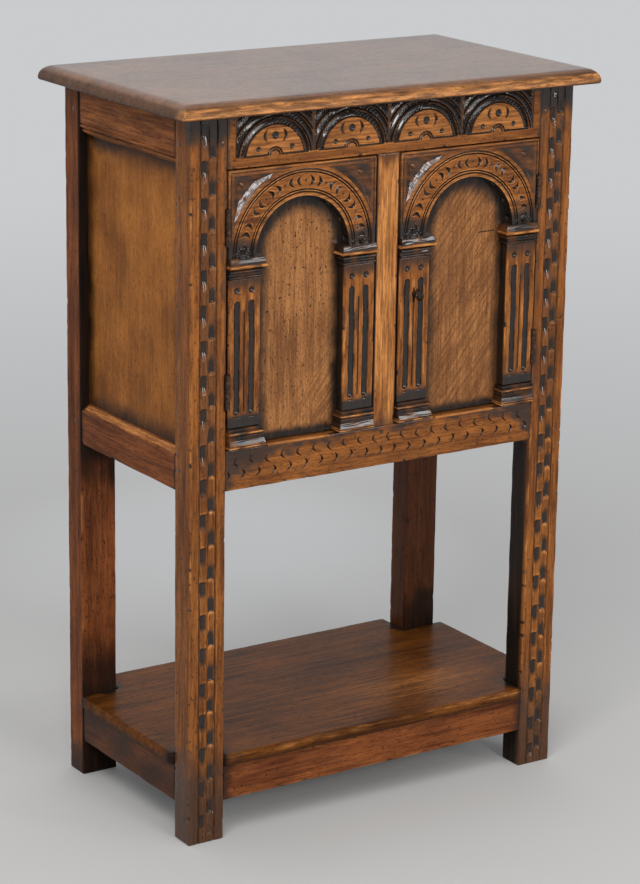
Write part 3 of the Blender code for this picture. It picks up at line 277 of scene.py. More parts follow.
class Graph:
    """The nodes of a material, or of the world."""

    def __init__(self, name):
        self.material = bpy.data.materials.new(name)
        self.material.use_nodes = True
        self.tree = self.material.node_tree
        self.tree.nodes.clear()

    @classmethod
    def of(cls, tree):
        """A graph over a node tree that exists."""
        graph = cls.__new__(cls)
        graph.material, graph.tree = None, tree
        tree.nodes.clear()
        return graph

    def node(self, kind, settings=None, sockets=None, output=0):
        """Adds a node of a type, sets it, then gives its sockets their values or links."""
        made = self.tree.nodes.new(kind)
        for key, value in (settings or {}).items():
            setattr(made, key, value)
        for key, value in (sockets or {}).items():
            if isinstance(value, Value):
                self.tree.links.new(value.output, made.inputs[key])
            else:
                made.inputs[key].default_value = value
        return None if output is None else Value(self, made.outputs[output])

    def place(self):
        return self.node("ShaderNodeTexCoord", output="Object")

    def mark(self, name):
        """A number that the piece's mesh carries at each point."""
        return self.node("ShaderNodeAttribute", {"attribute_name": name}, output="Fac")

    def stretched(self, place, scale, turn=0.0):
        """Coordinates scaled along each axis, after a turn about Y."""
        if turn:
            sockets = {"Vector": place, "Rotation": (0, turn, 0)}
            place = self.node("ShaderNodeMapping", {"vector_type": "TEXTURE"}, sockets)
        return self.node("ShaderNodeVectorMath", {"operation": "MULTIPLY"}, {0: place, 1: scale})

    def noise(self, place, scale, detail, seed=0.0, distortion=0.0):
        sockets = {"Vector": place, "W": seed, "Scale": scale, "Detail": detail, "Distortion": distortion}
        return self.node("ShaderNodeTexNoise", {"noise_dimensions": "4D"}, sockets)

    def mix(self, share, first, second):
        """A colour that goes from the first to the second as share goes from 0 to 1."""
        return self.node("ShaderNodeMix", {"data_type": "RGBA"}, {0: share, 6: first, 7: second}, output=2)

    def axis(self, place, name):
        return self.node("ShaderNodeSeparateXYZ", None, {0: place}, output=name)

    def surface(self, shader, output="ShaderNodeOutputMaterial"):
        """Ends the graph in a shader."""
        self.node(output, None, {"Surface": shader}, None)
        return self.material

    def finish(self, sockets):
        """Ends the graph in a Principled shader."""
        return self.surface(self.node("ShaderNodeBsdfPrincipled", None, sockets, "BSDF"))


def opaque(rgb):
    return (*rgb, 1.0)


# Finishes

GRAIN_STRETCH = 1 / 18
RAY_TURN = radians(38)


def along_grain(grain, stretch):
    """Scales that draw a pattern out along the grain's axis."""
    return tuple(stretch if axis == grain else 1 for axis in "XYZ")


def oak(name, grain, wood, gloss=0.36, sheen=0.08, shine=0.8, pore=(1250, 1 / 11, 0.6), speck=0.6, painted_shade=None,
        fleck=None, figure=(0.40, 0.50, 0.40), polish=(0.03, 0.13), dirt_and_shade=None):
    """Old polished oak: bands of grain, fine fibre and open pores along the grain, smudges, blotches and
    specks, in the pale and deep tones of a wood.

    A pore's scale is per metre, with its stretch along the grain and its strength. Figure weighs bands, fibre
    and blotches, and polish is the weight and roughness of the coat. The piece's marks then take over: timber
    gives each piece its own patterns, rub shows bare ochre wood, and a painted highlight on the
    legs' ledges and the shelf, soot lays black wax, and on some pieces painted shade, in the wax colour
    or in a given dirt_and_shade colour, over all, and dull takes the shine from it. A painted_shade field
    darkens the wood by place with painted shade, the doors' with a crack too, and a fleck adds slanting
    medullary rays where it is told to.
    """
    if name in bpy.data.materials:
        return bpy.data.materials[name]
    tones = bpy.context.scene.cabinet_tones
    pale, deep = getattr(tones, f"{wood}_pale"), getattr(tones, f"{wood}_deep")
    g = Graph(name)
    place, timber = g.place(), g.mark("timber")
    flow = g.stretched(place, along_grain(grain, GRAIN_STRETCH))
    dashes = g.stretched(place, along_grain(grain, pore[1]))
    bands = g.noise(flow, 105, 3, timber, 0.4)
    fibre = g.noise(flow, 360, 3, timber)
    lines = g.noise(flow, 560, 2, timber, 0.3).smooth(0.57, 0.68)
    pores = (g.noise(dashes, pore[0], 2, timber).smooth(0.53, 0.63)).most(lines * 0.8) * pore[2]
    blotch = g.noise(place, 10, 3, timber)
    smudge = g.noise(g.stretched(place, along_grain(grain, 0.25)), 42, 3, timber).smooth(0.52, 0.74)
    specks = g.noise(g.stretched(place, along_grain(grain, 0.7)), 290, 1, timber).smooth(0.655, 0.70)
    tone = bands * figure[0] + fibre * figure[1] + blotch * figure[2]
    shown = g.mix(tone.smooth(0.45, 0.83), opaque(deep), opaque(pale))
    shown = g.mix(smudge * 0.4, shown, opaque(deep))
    if fleck:
        rays = g.noise(g.stretched(place, (1, 1, 0.06), RAY_TURN), 330, 1)
        shown = g.mix(rays.smooth(0.46, 0.58) * fleck(g, place), shown, opaque(deep))
        specks = specks * (1 - fleck(g, place))
    shown = g.mix(pores, shown, opaque(np.array(deep) * 0.55))
    shown = g.mix(specks * speck, shown, opaque(tones.wax))
    rub = g.mark("rub") * (fibre * 1.1 + 0.3)
    bare = rub.smooth(0.08, 0.80) * (1 - pores)
    ochre = [opaque(np.array(tones.rubbed) * light) for light in (0.66, 1.20)]
    shown = g.mix(bare, shown, g.mix(fibre.smooth(0.38, 0.62), *ochre))
    soot = g.mark("soot")
    # Painted shade at the sunk edges of a panel, laid like wax over the wood
    if painted_shade:
        soot = soot.most(painted_shade(g, place) * (blotch * 0.5 + 0.7))
    cover = (soot + (blotch + fibre - 1) * soot * 0.6).smooth(0.06, 0.94)
    cover = cover * (g.noise(flow, 170, 3, timber).smooth(0.25, 0.6) * 0.10 + 0.90)
    shown = g.mix(cover, shown, opaque(dirt_and_shade or tones.wax))
    roughness = fibre * 0.22 + pores * 0.12 + (gloss - 0.12) - cover * 0.10 + bare * 0.08
    height = (fibre * 0.7 - pores * 0.7 + bands * 0.4) * (1 - cover * 0.75)
    normal = g.node("ShaderNodeBump", None, {"Strength": 0.45, "Distance": 0.6 * MM, "Height": height})
    coat = (cover * shine + polish[0]) * (1 - g.mark("dull"))
    return g.finish({
        "Base Color": shown, "Roughness": roughness, "Normal": normal, "Specular IOR Level": sheen,
        "Coat Weight": coat, "Coat Roughness": polish[1],
    })


def door_flecks(g, place):
    """Rays show all over the right panel, and towards the lower right of the left one."""
    return (g.axis(place, "X") + (0.62 - g.axis(place, "Z")) * 0.5).smooth(-0.14, -0.03) * 0.7


def door_shade_and_crack(g, place):
    """Painted shade, with dark wax, round the arched opening on the panel's front, where the panel sinks
    behind
    the arch and pilasters: how near a point lies to the reveal, from its distance to the door's middle. One
    short crack runs across the right panel."""
    low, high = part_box("right_door_panel")
    opening = (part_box("right_outer_pilaster")[0].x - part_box("right_inner_pilaster")[1].x) / 2
    x, z = g.axis(place, "X"), g.axis(place, "Z")
    side = x.smooth(-MM, MM) * 2 - 1
    aside = x - side * ((low.x + high.x) / 2) - 4 * MM
    above = (z - SPRINGING).most(0)
    reach = (aside * aside + above * above) ** 0.5
    inside = (opening + 5 * MM - reach).least((z - low.z) * 1.7)
    uneven = g.noise(place, 45, 2) * (16 * MM)
    crack = abs(z - CRACK_LEVEL).smooth(1.1 * MM, 0.3 * MM)
    crack = crack * x.smooth(*CRACK_BEGINS) * x.smooth(*CRACK_ENDS)
    front = g.axis(place, "Y").smooth(low.y + 2 * MM, low.y + MM)
    return ((inside - uneven).smooth(24 * MM, -5 * MM) * 0.95).most(crack) * front


def side_panel_shade(g, place):
    """Painted shade along the edges of a side panel, from the distance to its nearest rail or leg."""
    aside = SIDE_BAY[1] - abs(g.axis(place, "Y"))
    up = g.axis(place, "Z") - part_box("left_bottom_rail")[1].z
    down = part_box("left_top_rail")[0].z - g.axis(place, "Z")
    uneven = g.noise(place, 30, 3) * (24 * MM)
    return (aside.least(up).least(down) - uneven).smooth(24 * MM, -16 * MM) * 0.88


def frame_oak(grain):
    return oak(f"frame_oak_{grain.lower()}", grain, "frame")


def dark_oak(grain):
    return oak(f"dark_oak_{grain.lower()}", grain, "dark", 0.40, 0.05, 0.15)


def inside_oak():
    return oak("inside_oak", "X", "dark", 0.55, 0.10, 0.1)


def door_panel_oak():
    pore = 1000, 1 / 4, 0.7
    # Painted shade round the arched opening, with a crack, darkens this panel
    return oak("door_panel_oak", "Z", "door", 0.46, 0.10, 0.3, pore, 0.9, door_shade_and_crack, door_flecks)


def side_panel_oak():
    pore = 1300, 1 / 8, 0.5
    # Its dark cover is painted shade along the edges, in a warm dark brown
    return oak("side_panel_oak", "Z", "panel", 0.42, 0.06, 0.05, pore, 0.45, side_panel_shade,
               figure=(0.20, 0.26, 0.84), dirt_and_shade=(0.020, 0.009, 0.004))


def rubbed_top_oak():
    return oak("rubbed_top_oak", "X", "top", 0.34, 0.15, 0.3, (1100, 1 / 9, 0.7), 0.25, polish=(0.66, 0.30))


def waxed_shelf_oak():
    pores, polish = (1100, 1 / 10, 0.6), (0.06, 0.20)
    return oak("waxed_shelf_oak", "X", "shelf", 0.34, 0.03, 0.1, pores, 0.5, polish=polish)


def rusted_iron():
    """Dark iron with a brown bloom in patches."""
    if "rusted_iron" in bpy.data.materials:
        return bpy.data.materials["rusted_iron"]
    tones = bpy.context.scene.cabinet_tones
    g = Graph("rusted_iron")
    place = g.place()
    bloom = g.noise(place, 260, 4)
    pitted = g.noise(place, 1400, 2)
    rusted = bloom.smooth(0.45, 0.68)
    shown = g.mix(rusted, opaque(tones.iron), opaque(tones.rust))
    normal = g.node("ShaderNodeBump", None, {"Strength": 0.4, "Distance": 0.2 * MM, "Height": pitted + bloom})
    roughness = bloom * 0.35 + 0.28
    metallic = 0.95 - rusted * 0.55
    return g.finish({"Base Color": shown, "Metallic": metallic, "Roughness": roughness, "Normal": normal})


# Fields: whole arrays of numbers over a grid

def eased(low, high, x):
    """0 at low, 1 at high and the cubic 3s^2 - 2s^3 between."""
    share = np.clip((x - low) / (high - low), 0, 1)
    return share * share * (3 - 2 * share)


def ripple(a, b, size, seed):
    """A smooth uneven field between about -1 and 1: the mean of a few plane sine waves of seeded directions,
    lengths near size and phases."""
    draw = np.random.default_rng(seed)
    turns, phases = draw.uniform(0, 2 * pi, (2, WAVES))
    lengths = size * draw.uniform(0.6, 1.7, WAVES)
    waves = [
        np.sin(2 * pi * (a * np.cos(turn) + b * np.sin(turn)) / long + phase)
        for turn, phase, long in zip(turns, phases, lengths)
    ]
    return np.sum(waves, 0) / np.sqrt(WAVES)


def blurred(field, half):
    """The mean of a field over a square window that reaches half steps each way, taken as differences of
    running sums along each axis in turn, with edge values repeated outwards."""
    for axis in (0, 1):
        wide = [(0, 0), (0, 0)]
        wide[axis] = (half + 1, half)
        sums = np.cumsum(np.pad(field, wide, mode="edge"), axis=axis)
        count = field.shape[axis]
        window = 2 * half + 1
        upper = np.take(sums, np.arange(window, window + count), axis=axis)
        lower = np.take(sums, np.arange(count), axis=axis)
        field = (upper - lower) / window
    return field


def trough(distance, width, depth):
    """A round-bottomed groove: depth times 1 - (2 distance / width)^2."""
    return depth * np.clip(1 - (2 * distance / width) ** 2, 0, None)


def pit(a, b, radius, depth):
    """A punched hollow: depth times 1 - (a^2 + b^2) / radius^2."""
    return depth * np.clip(1 - (a * a + b * b) / radius ** 2, 0, None)


def crescent(a, b, tall, wide, depth, body=0.75):
    """A gouge stab shaped like an opening bracket. With q = 1 - (2b / tall)^2 it lies between the curves
    a = wide (1/2 - q) and, body wide q further, drops fast at the first and runs out at the second."""
    q = np.clip(1 - (2 * b / tall) ** 2, 0, None)
    share = np.clip((a + wide * (q - 0.5)) / np.maximum(wide * q * body, TINY), 0, 1)
    return depth * np.cbrt(q) * eased(0, 0.25, share) * (1 - share)


def notch(across, along, width, length_, depth):
    """A gouge notch with a stop cut at along = 0. It narrows to a round end at length_ and comes up evenly
    over the last part. Its section, the power 0.42 of 1 - (across / half width)^2, is a little flatter than a
    round one."""
    share = along / length_
    taper = np.sqrt(np.clip(1 - (np.clip(share - 0.55, 0, None) / 0.45) ** 2, 0, None))
    hollow = np.clip(1 - (across / np.maximum(width / 2 * taper, TINY)) ** 2, 0, None)
    fall = eased(0, 0.12, share) * np.clip((1 - share) / 0.45, 0, 1)
    return depth * fall * hollow ** 0.42


def rounded(x, middle, half):
    """A half circle of height 1 over the stretch within half of middle: the root of
    1 - ((x - middle) / half)^2."""
    return np.sqrt(np.clip(1 - ((x - middle) / half) ** 2, 0, None))


def worn_edge(distance, radius):
    """How far a rounded arris falls back at a distance from the edge: a quarter circle of that radius."""
    short = np.clip(radius - distance, 0, radius)
    return radius - np.sqrt(radius ** 2 - short ** 2)


# Skins: meshes from rings of points

def ring(corners, radius, steps):
    """Points round an outline. Each corner c becomes the curve (1-s)^2 a + 2s(1-s) c + s^2 b between points
    one radius away on its two sides, and each straight is divided evenly into its number of steps."""
    corners = np.asarray(corners, float)
    count = len(corners)
    ahead = np.roll(corners, -1, 0) - corners
    ahead /= np.linalg.norm(ahead, axis=1)[:, None]
    radii = np.broadcast_to(radius, count)
    s = np.linspace(0, 1, BEND_STEPS)[:, None]
    points = []
    for i, corner in enumerate(corners):
        start, end = corner - ahead[i - 1] * radii[i], corner + ahead[i] * radii[i]
        after = (i + 1) % count
        goal = corners[after] - ahead[i] * radii[after]
        points.append((1 - s) ** 2 * start + 2 * s * (1 - s) * corner + s ** 2 * end)
        points.append(end + (goal - end) * np.linspace(0, 1, steps[i] + 1)[1:-1, None])
    return np.concatenate(points)


def outward_of(section):
    """Unit normals that point out of a closed outline that runs anticlockwise."""
    along = np.roll(section, -1, 0) - np.roll(section, 1, 0)
    along /= np.linalg.norm(along, axis=1)[:, None]
    return np.stack((along[:, 1], -along[:, 0]), 1)


def stations(low, high, count, radius):
    """Places along a length, and how far the section is drawn in there: a quarter circle at each end."""
    turn = np.linspace(0, pi / 2, END_STEPS)
    near, drawn = radius * (1 - np.cos(turn)), radius * (1 - np.sin(turn))
    middle = np.linspace(low + radius, high - radius, count + 1)[1:-1]
    along = np.concatenate((low + near, middle, high - near[::-1]))
    return along, np.concatenate((drawn, np.zeros(len(middle)), drawn[::-1]))


def ring_faces(rows, columns, start=0):
    """Quads between neighbouring rings, then the first and the last ring themselves as end faces."""
    index = start + np.arange(rows * columns).reshape(rows, columns)
    here, after = index[:-1], index[1:]
    quads = np.stack((here, np.roll(here, -1, 1), np.roll(after, -1, 1), after), -1).reshape(-1, 4)
    return quads.tolist() + [index[0][::-1].tolist(), index[-1].tolist()]


def volume_sign(points, quads):
    """The sign of the volume inside quads: the sum over their triangles of a . (b x c)."""
    a, b, c, d = (points[quads[:, k]] for k in range(4))
    return np.sign(np.sum(a * np.cross(b, c)) + np.sum(a * np.cross(c, d)))


def seed_of(name):
    """A whole number of a piece's own, the sum of its letters' codes."""
    return sum(map(ord, name))


def add_piece(name, shells, body, material, nodes, marks):
    """Makes a piece of closed shells, each an array of rings (rows, columns, 3). Faces point outwards, and a
    mark is a number at every point. Timber, a number of the piece's own, is added to the marks."""
    points, faces = [], []
    start = 0
    for rows in shells:
        count, columns = rows.shape[:2]
        flat = rows.reshape(-1, 3)
        made = ring_faces(count, columns, start)
        quads = np.array([f for f in made if len(f) == 4]) - start
        if volume_sign(flat - flat.mean(0), quads) < 0:
            made = [f[::-1] for f in made]
        points.append(flat)
        faces += made
        start += len(flat)
    points = np.concatenate(points)
    mesh = bpy.data.meshes.new(name)
    mesh.from_pydata(points, [], faces)
    timber = np.full(len(points), seed_of(name) % 89 / 7.0)
    for key, field in {"timber": timber, **marks}.items():
        attribute = mesh.attributes.new(key, "FLOAT", "POINT")
        attribute.data.foreach_set("value", np.ascontiguousarray(field, np.float32).ravel())
    mesh.shade_smooth()
    mesh.set_sharp_from_angle(angle=SHARP)
    mesh.materials.append(material)
    piece = bpy.data.objects.new(name, mesh)
    bpy.context.scene.collection.objects.link(piece)
    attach(piece, body)
    if nodes:
        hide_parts(*nodes)


def slab(plan, spine, base, thick, inset, level):
    """Rings over a board, from the middle of its underside round its edge to the middle of its top.

    plan(inset) is the outline drawn in by inset. The rings that fill the two faces go a share of the way from
    the outline to the nearest point of the spine, the stretch of the X axis within that distance of the
    middle.
    """
    edge = np.array([plan(back) for back in inset])
    share = np.linspace(0.97, 0, FILL_STEPS, endpoint=False)[:, None, None]
    faces = []
    for outline in (edge[0], edge[-1]):
        goal = np.stack((np.clip(outline[:, 0], -spine, spine), 0 * outline[:, 0]), 1)
        faces.append(outline + (goal - outline) * share)
    rings = np.concatenate((faces[0], edge, faces[1][::-1]))
    flat = np.zeros(FILL_STEPS)
    height = np.concatenate((flat, level, flat + thick))[:, None]
    back = np.concatenate((flat + 1, inset, flat + 1))[:, None]
    x, y = rings[..., 0], rings[..., 1]
    return x, y, base + height + 0 * x, back + 0 * x


def laid_box(node, lay, span=None):
    """A node's lowest and highest corners, as (across, depth, length) of a lay. A span takes the place of the
    length, where tenons at its ends are hidden."""
    ends = np.array([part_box(node)[0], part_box(node)[1]]) @ lay.T
    low, high = ends.min(0), ends.max(0)
    if span:
        low[2], high[2] = span
    return low, high


class Board:
    """A length of wood: rings round a section, carried along a length.

    Rows follow the length t and columns the section, where u runs across the shown face and v goes from that
    face into the wood. Carving presses the shown face in. Marks say where wax lies, and on some pieces
    painted shade (soot), where wood is rubbed bare, and on a few a painted highlight (rub), and
    where there is no shine (dull).
    """

    def __init__(self, lay, low, high, rows, face_steps=10, depth_steps=6, arris=None, outline=None):
        arris = bpy.context.scene.cabinet_carving.arris if arris is None else arris
        corners = [(low[0], low[1]), (high[0], low[1]), (high[0], high[1]), (low[0], high[1])]
        steps = [face_steps, depth_steps, min(face_steps, 12), depth_steps]
        section = ring(corners, arris, steps) if outline is None else outline
        along, drawn = stations(low[2], high[2], rows, arris)
        self.lay, self.low, self.high = lay, np.asarray(low), np.asarray(high)
        self.outward = outward_of(section)
        self.u = section[:, 0] - drawn[:, None] * self.outward[:, 0]
        self.v = section[:, 1] - drawn[:, None] * self.outward[:, 1]
        self.t = np.repeat(along[:, None], len(section), 1)
        self.front = np.flatnonzero(np.abs(section[:, 1] - low[1]) < TINY)
        self.soot = np.zeros_like(self.u)
        self.rub = np.zeros_like(self.u)
        self.dull = np.zeros_like(self.u)

    def face(self):
        """Where the points of the shown face lie, across and along."""
        return self.u[:, self.front], self.t[:, self.front]

    def edge_distance(self):
        """Along the surface, how far a point lies from the nearest long arris: the larger of its distances
        to the nearest face across and the nearest face in depth."""
        across = np.minimum(self.u - self.low[0], self.high[0] - self.u)
        deep = np.minimum(self.v - self.low[1], self.high[1] - self.v)
        return np.clip(np.maximum(across, deep), 0, None)

    def wear(self, seed, depth=0.45 * MM, reach=3 * MM, rub=0.55):
        """Wears the arrises: a falling curve exp(-(d / reach)^2) times a slow ripple, with a nick where a
        quicker ripple runs high."""
        distance = self.edge_distance()
        uneven = np.clip(0.5 + 0.5 * ripple(self.t, self.u * 0.4 + self.v * 0.4, 45 * MM, seed), 0, 1)
        nick = np.clip(ripple(self.t, self.u + self.v, 13 * MM, seed + 1) - 0.95, 0, 1)
        amount = depth * (uneven + 2.2 * nick) * np.exp(-((distance / reach) ** 2))
        self.u -= self.outward[:, 0] * amount
        self.v -= self.outward[:, 1] * amount
        bare = eased(4.5 * MM, 0.3 * MM, distance) * np.clip(0.25 + 0.75 * uneven - nick, 0, 1)
        self.rub_bare_and_highlight(rub * bare)
        self.soot = np.maximum(self.soot, 0.85 * eased(0.05, 0.4, nick) * eased(5 * MM, 1 * MM, distance))

    def press(self, depth, shade=1.6 * MM, half=4, shade_halo=0.25):
        """Cuts depth into the shown face. Wax fills the cuts, most where they are deep, with a halo of wax
        and painted shade round them, and what stands above its surroundings is rubbed."""
        self.v[:, self.front] += depth
        around = blurred(depth, half)
        cut = np.clip(depth / shade, 0, 1)
        self.soot[:, self.front] = np.max([self.soot[:, self.front], cut, shade_halo * around / shade], 0)
        proud = np.clip((around - depth) / (0.9 * MM), 0, 1)
        self.rub_bare_and_highlight(0.5 * proud, self.front)

    def rub_bare_and_highlight(self, field, columns=slice(None)):
        """Rubs the polish away, as a field over the points of the skin, or of some of its columns."""
        self.rub[:, columns] = np.maximum(self.rub[:, columns], field)

    def grime_and_shade(self, field, dull=False):
        """Adds wax over the whole skin, as a field over its points, or dull dirt; some callers lay painted
        shade with it.
        """
        self.soot = np.clip(np.maximum(self.soot, field), 0, 1)
        if dull:
            self.dull = np.clip(np.maximum(self.dull, 1.5 * field), 0, 1)

    def joint_grime(self, reach, strength=0.7, seed=0):
        """Dark wax against the joints at both ends of the length."""
        near = np.minimum(self.t - self.low[2], self.high[2] - self.t)
        uneven = reach * (0.8 + 0.35 * ripple(self.u, self.v, 20 * MM, seed))
        self.grime_and_shade(strength * eased(uneven, 0, near))

    def points(self):
        return np.stack((self.u, self.v, self.t), -1) @ self.lay

    def build(self, name, body, material, nodes, slot, points=None):
        rows = self.points() if points is None else points
        marks = {"soot": self.soot, "rub": np.clip(self.rub - 0.6 * self.soot, 0, 1), "dull": self.dull}
        add_piece(name, [rows], body, material, nodes, marks)


def clear_of_hinges(points, word, part):
    """Lets a leg or door edge back round its hinges. Inside a leaf's height, points are moved off its plate
    across the joint, and then away from the pin's axis until they clear the knuckle."""
    side = SIDES[word]
    gap, reach = 0.3 * MM, 4 * MM
    for level in ("upper", "lower"):
        low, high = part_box(f"{word}_{level}_hinge_{part}_leaf")
        pin = sum(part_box(f"{word}_{level}_hinge_pin"), Vector()) / 2
        x, y, z = (points[..., k].copy() for k in range(3))
        within = (z > low.z - gap) & (z < high.z + gap) & (y < high.y + gap)
        far, near = max(side * low.x, side * high.x), min(side * low.x, side * high.x)
        out = x * side
        seat = np.maximum(out, far + gap) if part == "leg" else np.minimum(out, near - gap)
        x = np.where(within & (np.abs(seat - out) < reach), seat * side, x)
        room = pin.y - low.y + gap
        away = np.hypot(x - pin.x, y - pin.y)
        push = np.where(within & (away < room), room / np.maximum(away, TINY), 1)
        points = np.stack((pin.x + (x - pin.x) * push, pin.y + (y - pin.y) * push, z), -1)
    return points


# Carvings: depths cut into a face

def leg_carving(u, t, middle, pitch, first):
    """Two columns of gouge notches between three grooves. The left column has its stop cuts above, the right
    one below, and both drift a little, as cut by hand."""
    sizes = bpy.context.scene.cabinet_carving
    level = t + 1.6 * MM * ripple(t, 0 * t, 90 * MM, 7)
    aside = u - middle + 0.35 * MM * ripple(t, 0 * t, 55 * MM, 3)
    size = sizes.notch_width, sizes.notch_length, sizes.notch_depth
    cuts = []
    for hand, start in zip((-1, 1), first):
        place = (level - start) % pitch
        along = size[1] - place if hand < 0 else place
        cuts.append(notch(aside - hand * sizes.notch_columns / 2, along, *size))
    depth = np.max(cuts, 0) * (eased(*NOTCHES_BEGIN, t) * eased(*NOTCHES_END, t))
    for place, width, deep in ((-1.02, 2.6, 2.0), (0, 1.7, 1.3), (1.02, 2.6, 2.0)):
        depth = np.maximum(depth, trough(aside - place * sizes.notch_columns, width * MM, deep * MM))
    return depth


def saw_scratches(x, z, edge):
    """Three old saw scratches that run in from the outer edge, each a thin trough on a slanting line."""
    cuts = []
    for level, slope, reach in SCRATCHES:
        line = trough(z - level - slope * (x - edge), 1.5 * MM, 1.2 * MM)
        cuts.append(line * eased(reach, reach - 8 * MM, edge - x))
    return np.max(cuts, 0)


def lunette_carving(x, z):
    """The frieze, the part of it that is blackened, and its plain discs.

    Round each lunette's centre, by radius: a plain disc with its punched eye, crescents and dots, then bevels
    that fall outwards with a thin rubbed ridge after each, as far as the leaf between two lunettes. Some of
    the bevels are nicked.
    """
    sizes = bpy.context.scene.cabinet_carving
    left = BAY[0] + sizes.frieze_margin
    pitch = (BAY[1] - BAY[0] - 2 * sizes.frieze_margin) / sizes.lunettes
    ground = FRIEZE_LEVEL + sizes.frieze_strip
    inside = (x > left) & (x < -left)
    aside = (x - left) % pitch - pitch / 2
    up = z - ground
    rise = up + sizes.lunette_drop
    radius, angle = np.hypot(aside, rise), np.arctan2(rise, aside)
    above = eased(-0.3 * MM, 0.7 * MM, up) * inside
    beyond = radius - sizes.disc_radius
    outside = eased(0, 0.8 * MM, beyond)
    wide, thin = sizes.channel_width, sizes.ridge_width
    step = np.clip(beyond, 0, None) % (wide + thin)
    nicks = 0.5 + 0.5 * np.sin(angle * radius / (0.85 * MM))
    coarse = eased(-0.6, 0.4, ripple(x, z, 45 * MM, 18))
    share = step / wide
    slope = np.clip(1 - 0.25 * share - 0.45 * share ** 2, 0, 1) * eased(1, 0.93, share)
    roll = 0.86 * eased(0, 0.28, share) * slope * (1 - 0.4 * coarse * nicks)
    ridge = np.clip(1.15 - np.abs(step - wide - thin / 2) / (thin / 2), 0, 1)
    leaf = eased(pitch / 2 - 3.2 * MM, pitch / 2 - 1.4 * MM, np.abs(aside) + 0.05 * (up - 25 * MM))
    standing = np.max([roll, 0.95 * ridge, 0.75 * leaf], 0)
    depth = sizes.frieze_depth * (1 - standing) * outside * above * eased(52 * MM, 50 * MM, up)
    head = sizes.disc_radius - sizes.lunette_drop - 12.5 * MM
    marks = [np.minimum(pit(aside, up - head, 4.9 * MM, 4.5 * MM), 2.6 * MM)]
    for hand in (-1, 1):
        marks.append(crescent(-hand * (aside - hand * 13.6 * MM), up - head, 17 * MM, 7 * MM, 3.0 * MM))
        marks.append(np.minimum(pit(aside - hand * 23.5 * MM, up - 8 * MM, 3.3 * MM, 3.6 * MM), 2.2 * MM))
    boss = np.hypot(aside, up + 1.5 * MM)
    for size in (10.2, 7.0):
        marks.append(trough(boss - size * MM, 2.6 * MM, 2.0 * MM) * (up > -0.8 * MM))
    line = trough(up, 2.6 * MM, 2.0 * MM) * (np.abs(aside) > 10.4 * MM) * (beyond < wide)
    ends = trough(np.abs(x) + left, 1.8 * MM, 1.4 * MM) * (up > 0)
    depth = np.maximum(depth, np.max(marks, 0) * inside)
    depth = np.maximum(depth, np.maximum(line * inside, ends))
    worn = eased(-0.9, 0.1, ripple(x, z, 30 * MM, 8))
    black = above * outside * (1 - 0.8 * np.maximum(ridge, 0.5 * leaf) * worn)
    return depth, black, above * (1 - outside)


def crescent_rows(x, z, middle):
    """Two rows of crescent stabs along the bottom rail, the upper row facing the other way from the lower."""
    sizes = bpy.context.scene.cabinet_carving
    pitch = sizes.crescent_pitch
    drift = 1.3 * MM * ripple(x, 0 * x, 70 * MM, 12)
    rows = []
    for first, level, hand in CRESCENT_ROWS:
        along = (x + drift - first + pitch / 2) % pitch - pitch / 2
        up = z - middle - level + 1.2 * MM * ripple(x, 0 * x, 50 * MM, 5)
        size = sizes.crescent_height, sizes.crescent_width, 3.2 * MM
        rows.append(crescent(hand * along + 0.25 * up, up, *size, 0.55))
    return np.max(rows, 0) * eased(1, 0.98, np.abs(x) / BAY[1])


def arch_carving(aside, rise, radius, angle, inner, outer, border):
    """An archivolt and its spandrels, and the part that is blackened all over.

    By radius: a fillet, a pair of lines, a band of facing crescents with dots between the pairs, another pair
    of lines and a fillet. Outside it each spandrel is three flat chisel cuts: one falls away from the arch
    along the diagonal, two fall from the border, and a stud stands in the corner where they meet.
    """
    sizes = bpy.context.scene.cabinet_carving
    low, high = inner + sizes.arch_fillet, outer - sizes.arch_fillet
    lines = low, low + sizes.arch_groove, high - sizes.arch_groove, high
    cuts = [trough(radius - place, 2.2 * MM, 1.9 * MM) for place in lines]
    centre = (low + high) / 2
    pitch = radians(20)
    count = np.floor((angle - radians(88)) / pitch)
    turn = angle - radians(98) - count * pitch
    facing = np.where(count % 2 == 0, 1, -1)
    along, out = turn * centre, radius - centre
    for hand in (-1, 1):
        cuts.append(crescent(-facing * (along - hand * 5.6 * MM), out, 14 * MM, 8.2 * MM, 3.4 * MM))
    between = (np.abs(turn) - pitch / 2) * centre
    cuts.append(pit(between, out, 1.9 * MM, 1.4 * MM))
    cuts.append(crescent(-(rise - 11 * MM), out, 14 * MM, 7 * MM, 3 * MM))
    cuts.append(trough(rise - 4.5 * MM, 2.2 * MM, 1.8 * MM) * (radius > low) * (radius < high))
    beyond = radius - outer
    uneven = 0.14 * MM * ripple(aside, rise, 14 * MM, 21)
    chisel = (np.abs(aside) + rise) / np.sqrt(2) - 0.96 * outer + uneven
    facets = np.minimum(0.40 * chisel, 0.5 * (border - sizes.spandrel_border))
    ground = np.clip(0.5 * MM + facets, 0.5 * MM, sizes.spandrel_depth)
    ground += 0.07 * MM * ripple(aside, rise, 6 * MM, 22) * eased(0, 3 * MM, facets)
    inside = eased(sizes.spandrel_border - 0.3 * MM, sizes.spandrel_border + 0.5 * MM, border)
    sunk = ground * eased(-0.3 * MM, 0.5 * MM, beyond) * inside
    corner = np.hypot(np.abs(aside) - STUD_PLACE[0], rise - STUD_PLACE[1])
    stud = STUD_RADIUS * np.sqrt(np.clip(1 - (corner / STUD_RADIUS) ** 2, 0, None))
    cuts.append(np.clip(sunk - stud, 0, None))
    cuts.append(trough(border - 3.2 * MM, 1.5 * MM, 1.1 * MM) * (beyond > 0))
    return np.max(cuts, 0), eased(0, 0.8 * MM, beyond) * inside


